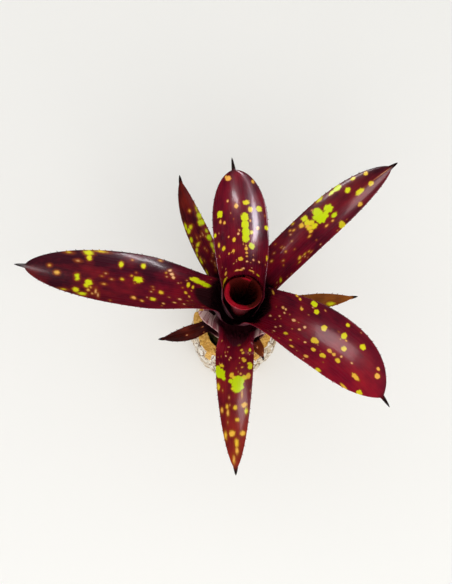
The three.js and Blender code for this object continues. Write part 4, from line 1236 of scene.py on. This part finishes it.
            (0.57, -0.95, 0.020, 0.07, 0.7), (0.74, -0.95, 0.028, 0.06, 0.5))),
    "leaf_top": StrapLeaf(
        **{**STRAP, "axil": -0.08, "outer_axil": 0.3}, glow=(0.3, 0.05, 0.0), heading=96.2, veer=5,
        seat=(5.6, 29), sheath_width=36, nest=13.6, neck=(15.6, 85), neck_width=26.5,
        belly_width=21.9, belly_at=0.5, length=100.5, pitch=(70, 48, 30), channel=(97, 45, 50),
        taper=(2.5, 0.5), spike=9, spots=(
            (0.03, 0.62, 0.020, 0.14, 0.65), (0.02, 0.80, 0.020, 0.08, 0.65),
            (0.05, 0.12, 0.012, 0.08, 0.2), (0.045, 0.00, 0.011, 0.08, 0.3),
            (0.065, -0.07, 0.012, 0.05, 0.15), (0.05, -0.30, 0.010, 0.06, 0.35),
            (0.05, -0.38, 0.010, 0.05, 0.3), (0.04, -0.56, 0.011, 0.07, 0.6),
            (0.09, 0.54, 0.020, 0.06, 0.35), (0.175, 0.00, 0.022, 0.08, 0.5),
            (0.145, -0.19, 0.012, 0.035, 0.15), (0.175, -0.40, 0.012, 0.035, 0.15),
            (0.18, -0.60, 0.012, 0.035, 0.15), (0.20, -0.19, 0.012, 0.04, 0.3),
            (0.235, -0.19, 0.012, 0.05, 0.35), (0.275, -0.19, 0.018, 0.06, 0.45),
            (0.305, -0.19, 0.010, 0.03, 0.3), (0.27, 0.23, 0.018, 0.05, 0.35),
            (0.26, 0.39, 0.012, 0.04, 0.35), (0.33, 0.60, 0.020, 0.07, 0.6),
            (0.38, 0.80, 0.020, 0.05, 0.5), (0.372, 0.20, 0.020, 0.06, 0.5),
            (0.41, 0.39, 0.010, 0.035, 0.3), (0.415, 0.05, 0.012, 0.04, 0.1),
            (0.445, 0.00, 0.010, 0.03, 0.1), (0.305, -0.37, 0.028, 0.11, 0.85),
            (0.375, -0.19, 0.040, 0.12, 0.9), (0.43, -0.21, 0.045, 0.14, 0.95),
            (0.49, -0.20, 0.045, 0.12, 0.9), (0.55, -0.20, 0.038, 0.13, 0.9),
            (0.425, -0.40, 0.018, 0.06, 0.7), (0.52, -0.38, 0.012, 0.035, 0.4),
            (0.61, -0.41, 0.022, 0.08, 0.65), (0.465, -0.62, 0.016, 0.06, 0.4),
            (0.62, -0.74, 0.025, 0.10, 0.8), (0.48, -0.95, 0.020, 0.08, 0.85),
            (0.26, -0.95, 0.020, 0.05, 0.6), (0.615, 0.68, 0.028, 0.12, 0.85),
            (0.555, 0.67, 0.018, 0.06, 0.35), (0.535, 0.52, 0.015, 0.05, 0.35),
            (0.47, 0.94, 0.020, 0.06, 0.8), (0.645, 0.06, 0.020, 0.07, 0.3),
            (0.665, -0.31, 0.020, 0.12, 0.7), (0.695, 0.36, 0.012, 0.05, 0.15),
            (0.86, 0.45, 0.018, 0.22, 0.3), (0.875, 0.72, 0.012, 0.12, 0.3),
            (0.82, -0.90, 0.014, 0.08, 0.5))),
}
for seed, (node, leaf) in enumerate(GROWN_LEAVES.items(), start=10):
    dress_leaf(node, leaf, cupped_skin if leaf.paper else strap_skin, seed)


# ---- Heart leaf ----------------------------------------------------------------------------
# The youngest leaf, still rolled round the mouth of the tank. It is thin and new, and the
# light that comes through it is painted in as a bright clear red inside, below a pale rim,
# with painted shade on its right side and back.

heart_skin = leaf_skin("new_leaf", wax=0.3, dark_ground=colour("#7a0714"),
                       bright_ground=colour("#d81a34"), lower_face=colour("#5a1a26"),
                       axil=colour("#48140e"), paper=colour("#e0a8a0"), seed=6.0)
heart = StrapLeaf(
    rolled=190, coil=0.9, heading=250, seat=(4.8, 32), wrap=140, nest=8.5, bulge=0.5,
    neck=(12.3, 96), pitch=(70, 70, 70), lip=3.6, slant=12, length=10,
    neck_width=38, belly_width=38, belly_at=0.3, channel=(163, 163, 163), taper=(2.0, 0.6),
    spike=1.5, spike_width=0.8, freckles=4, axil_fade=0.2, inner_axil=0.95,
    glow=(0.5, 0.0, -0.4), spots=(),
    # Painted shade darkens the inside on the right and at the back.
    axil_line=lambda v: (-1.2 + 1.5 * smooth(-0.05, 0.3, v) + 1.4 * smooth(-0.35, -0.6, v)
                         - 0.35 * smooth(0.75, 0.9, np.abs(v))))
dress_leaf("leaf_heart", heart, heart_skin, 50)


# ---- Floor, lights and camera --------------------------------------------------------------
# A pale table in a bright, even room. Two windows and an overhead lamp show only as sheen on
# the leaves, and a broad one lights the plant. The camera looks down from a little in front.

TABLE_SIZE = 6.0
TABLE_DROP = 0.5
CAMERA_TARGET = Vector((-6.6, 12.6, 165)) * MM
CAMERA_DISTANCE = 760 * MM
CAMERA_ELEVATION = math.radians(80)
CAMERA_LENS = 62.26
ROOM_LIGHT = 0.77
GLOSS_LIGHT = 0.05


def pale_table():
    material, tree, shader = new_material("pale_table")
    place = add(tree, "ShaderNodeTexCoord", output="Object")
    mottle = cloud(tree, place, 3.0, 3.0, 0.5, 1.0)
    pale = blend(tree, mottle, colour("#f1f1ee"), colour("#f4f3f0"))
    # Mirrored rays see the table painted dark grey, a painted reflection so the leaves do not
    # mirror a white floor.
    mirrored = add(tree, "ShaderNodeLightPath", output="Is Glossy Ray")
    tree.links.new(blend(tree, mirrored, pale, colour("#5a5856")), shader["Base Color"])
    shader["Roughness"].default_value = 0.8
    shader["Specular IOR Level"].default_value = 0.2
    half = TABLE_SIZE / MM / 2
    corners = [(x, y, -TABLE_DROP) for x, y in ((-half, -half), (half, -half), (half, half),
                                                (-half, half))]
    table = new_piece("table", corners, [(0, 1, 2, 3)])
    table.data.materials.append(material)


def softbox(name, azimuth, elevation, distance, width, height, power, tint, shines=True,
            mirrored=True):
    """A flat lamp that faces the plant, placed by degrees to the right of straight in front
    and degrees above level. It can light the leaves, show as sheen on them, or both."""
    lamp = bpy.data.lights.new(name, "AREA")
    lamp.shape, lamp.size, lamp.size_y = "RECTANGLE", width, height
    lamp.energy, lamp.color = power, tint
    place = bpy.data.objects.new(name, lamp)
    turn, rise = math.radians(azimuth), math.radians(elevation)
    away = Vector((math.sin(turn) * math.cos(rise), -math.cos(turn) * math.cos(rise),
                   math.sin(rise)))
    place.location = CAMERA_TARGET + away * distance
    place.rotation_euler = away.to_track_quat("Z", "Y").to_euler()
    place.visible_diffuse, place.visible_glossy = shines, mirrored
    bpy.context.scene.collection.objects.link(place)


pale_table()
softbox("window_left", -27, 10.5, 1.2, 0.26, 0.40, 26.0, (0.97, 0.9, 1.0), shines=False)
softbox("window_right", 25, 33, 1.2, 0.36, 0.09, 8.0, (1.0, 0.96, 1.0), shines=False)
softbox("overhead", -136, 50, 1.5, 0.8, 0.9, 27.0, (1.0, 0.94, 0.95), shines=False)
softbox("daylight", 10, 55, 1.6, 1.6, 1.2, 12.0, (1.0, 0.99, 0.97), mirrored=False)

world = bpy.data.worlds.new("bright_room")
bpy.context.scene.world = world
world.use_nodes = True
world.node_tree.nodes["Background"].inputs["Color"].default_value = (1.0, 0.995, 0.985, 1.0)
rays = add(world.node_tree, "ShaderNodeLightPath", output="Is Glossy Ray")
dimmed = sums(world.node_tree, "MULTIPLY_ADD", rays, GLOSS_LIGHT - ROOM_LIGHT, ROOM_LIGHT)
world.node_tree.links.new(dimmed, world.node_tree.nodes["Background"].inputs["Strength"])

lens = bpy.data.cameras.new("camera")
lens.sensor_fit, lens.sensor_height, lens.lens = "VERTICAL", 36.0, CAMERA_LENS
lens.clip_start, lens.clip_end = 0.01, 50.0
camera = bpy.data.objects.new("camera", lens)
back = Vector((0, -math.cos(CAMERA_ELEVATION), math.sin(CAMERA_ELEVATION)))
camera.location = CAMERA_TARGET + back * CAMERA_DISTANCE
camera.rotation_euler = (math.pi / 2 - CAMERA_ELEVATION, 0, 0)
bpy.context.scene.collection.objects.link(camera)
bpy.context.scene.camera = camera
bpy.context.scene.view_settings.view_transform = "Standard"
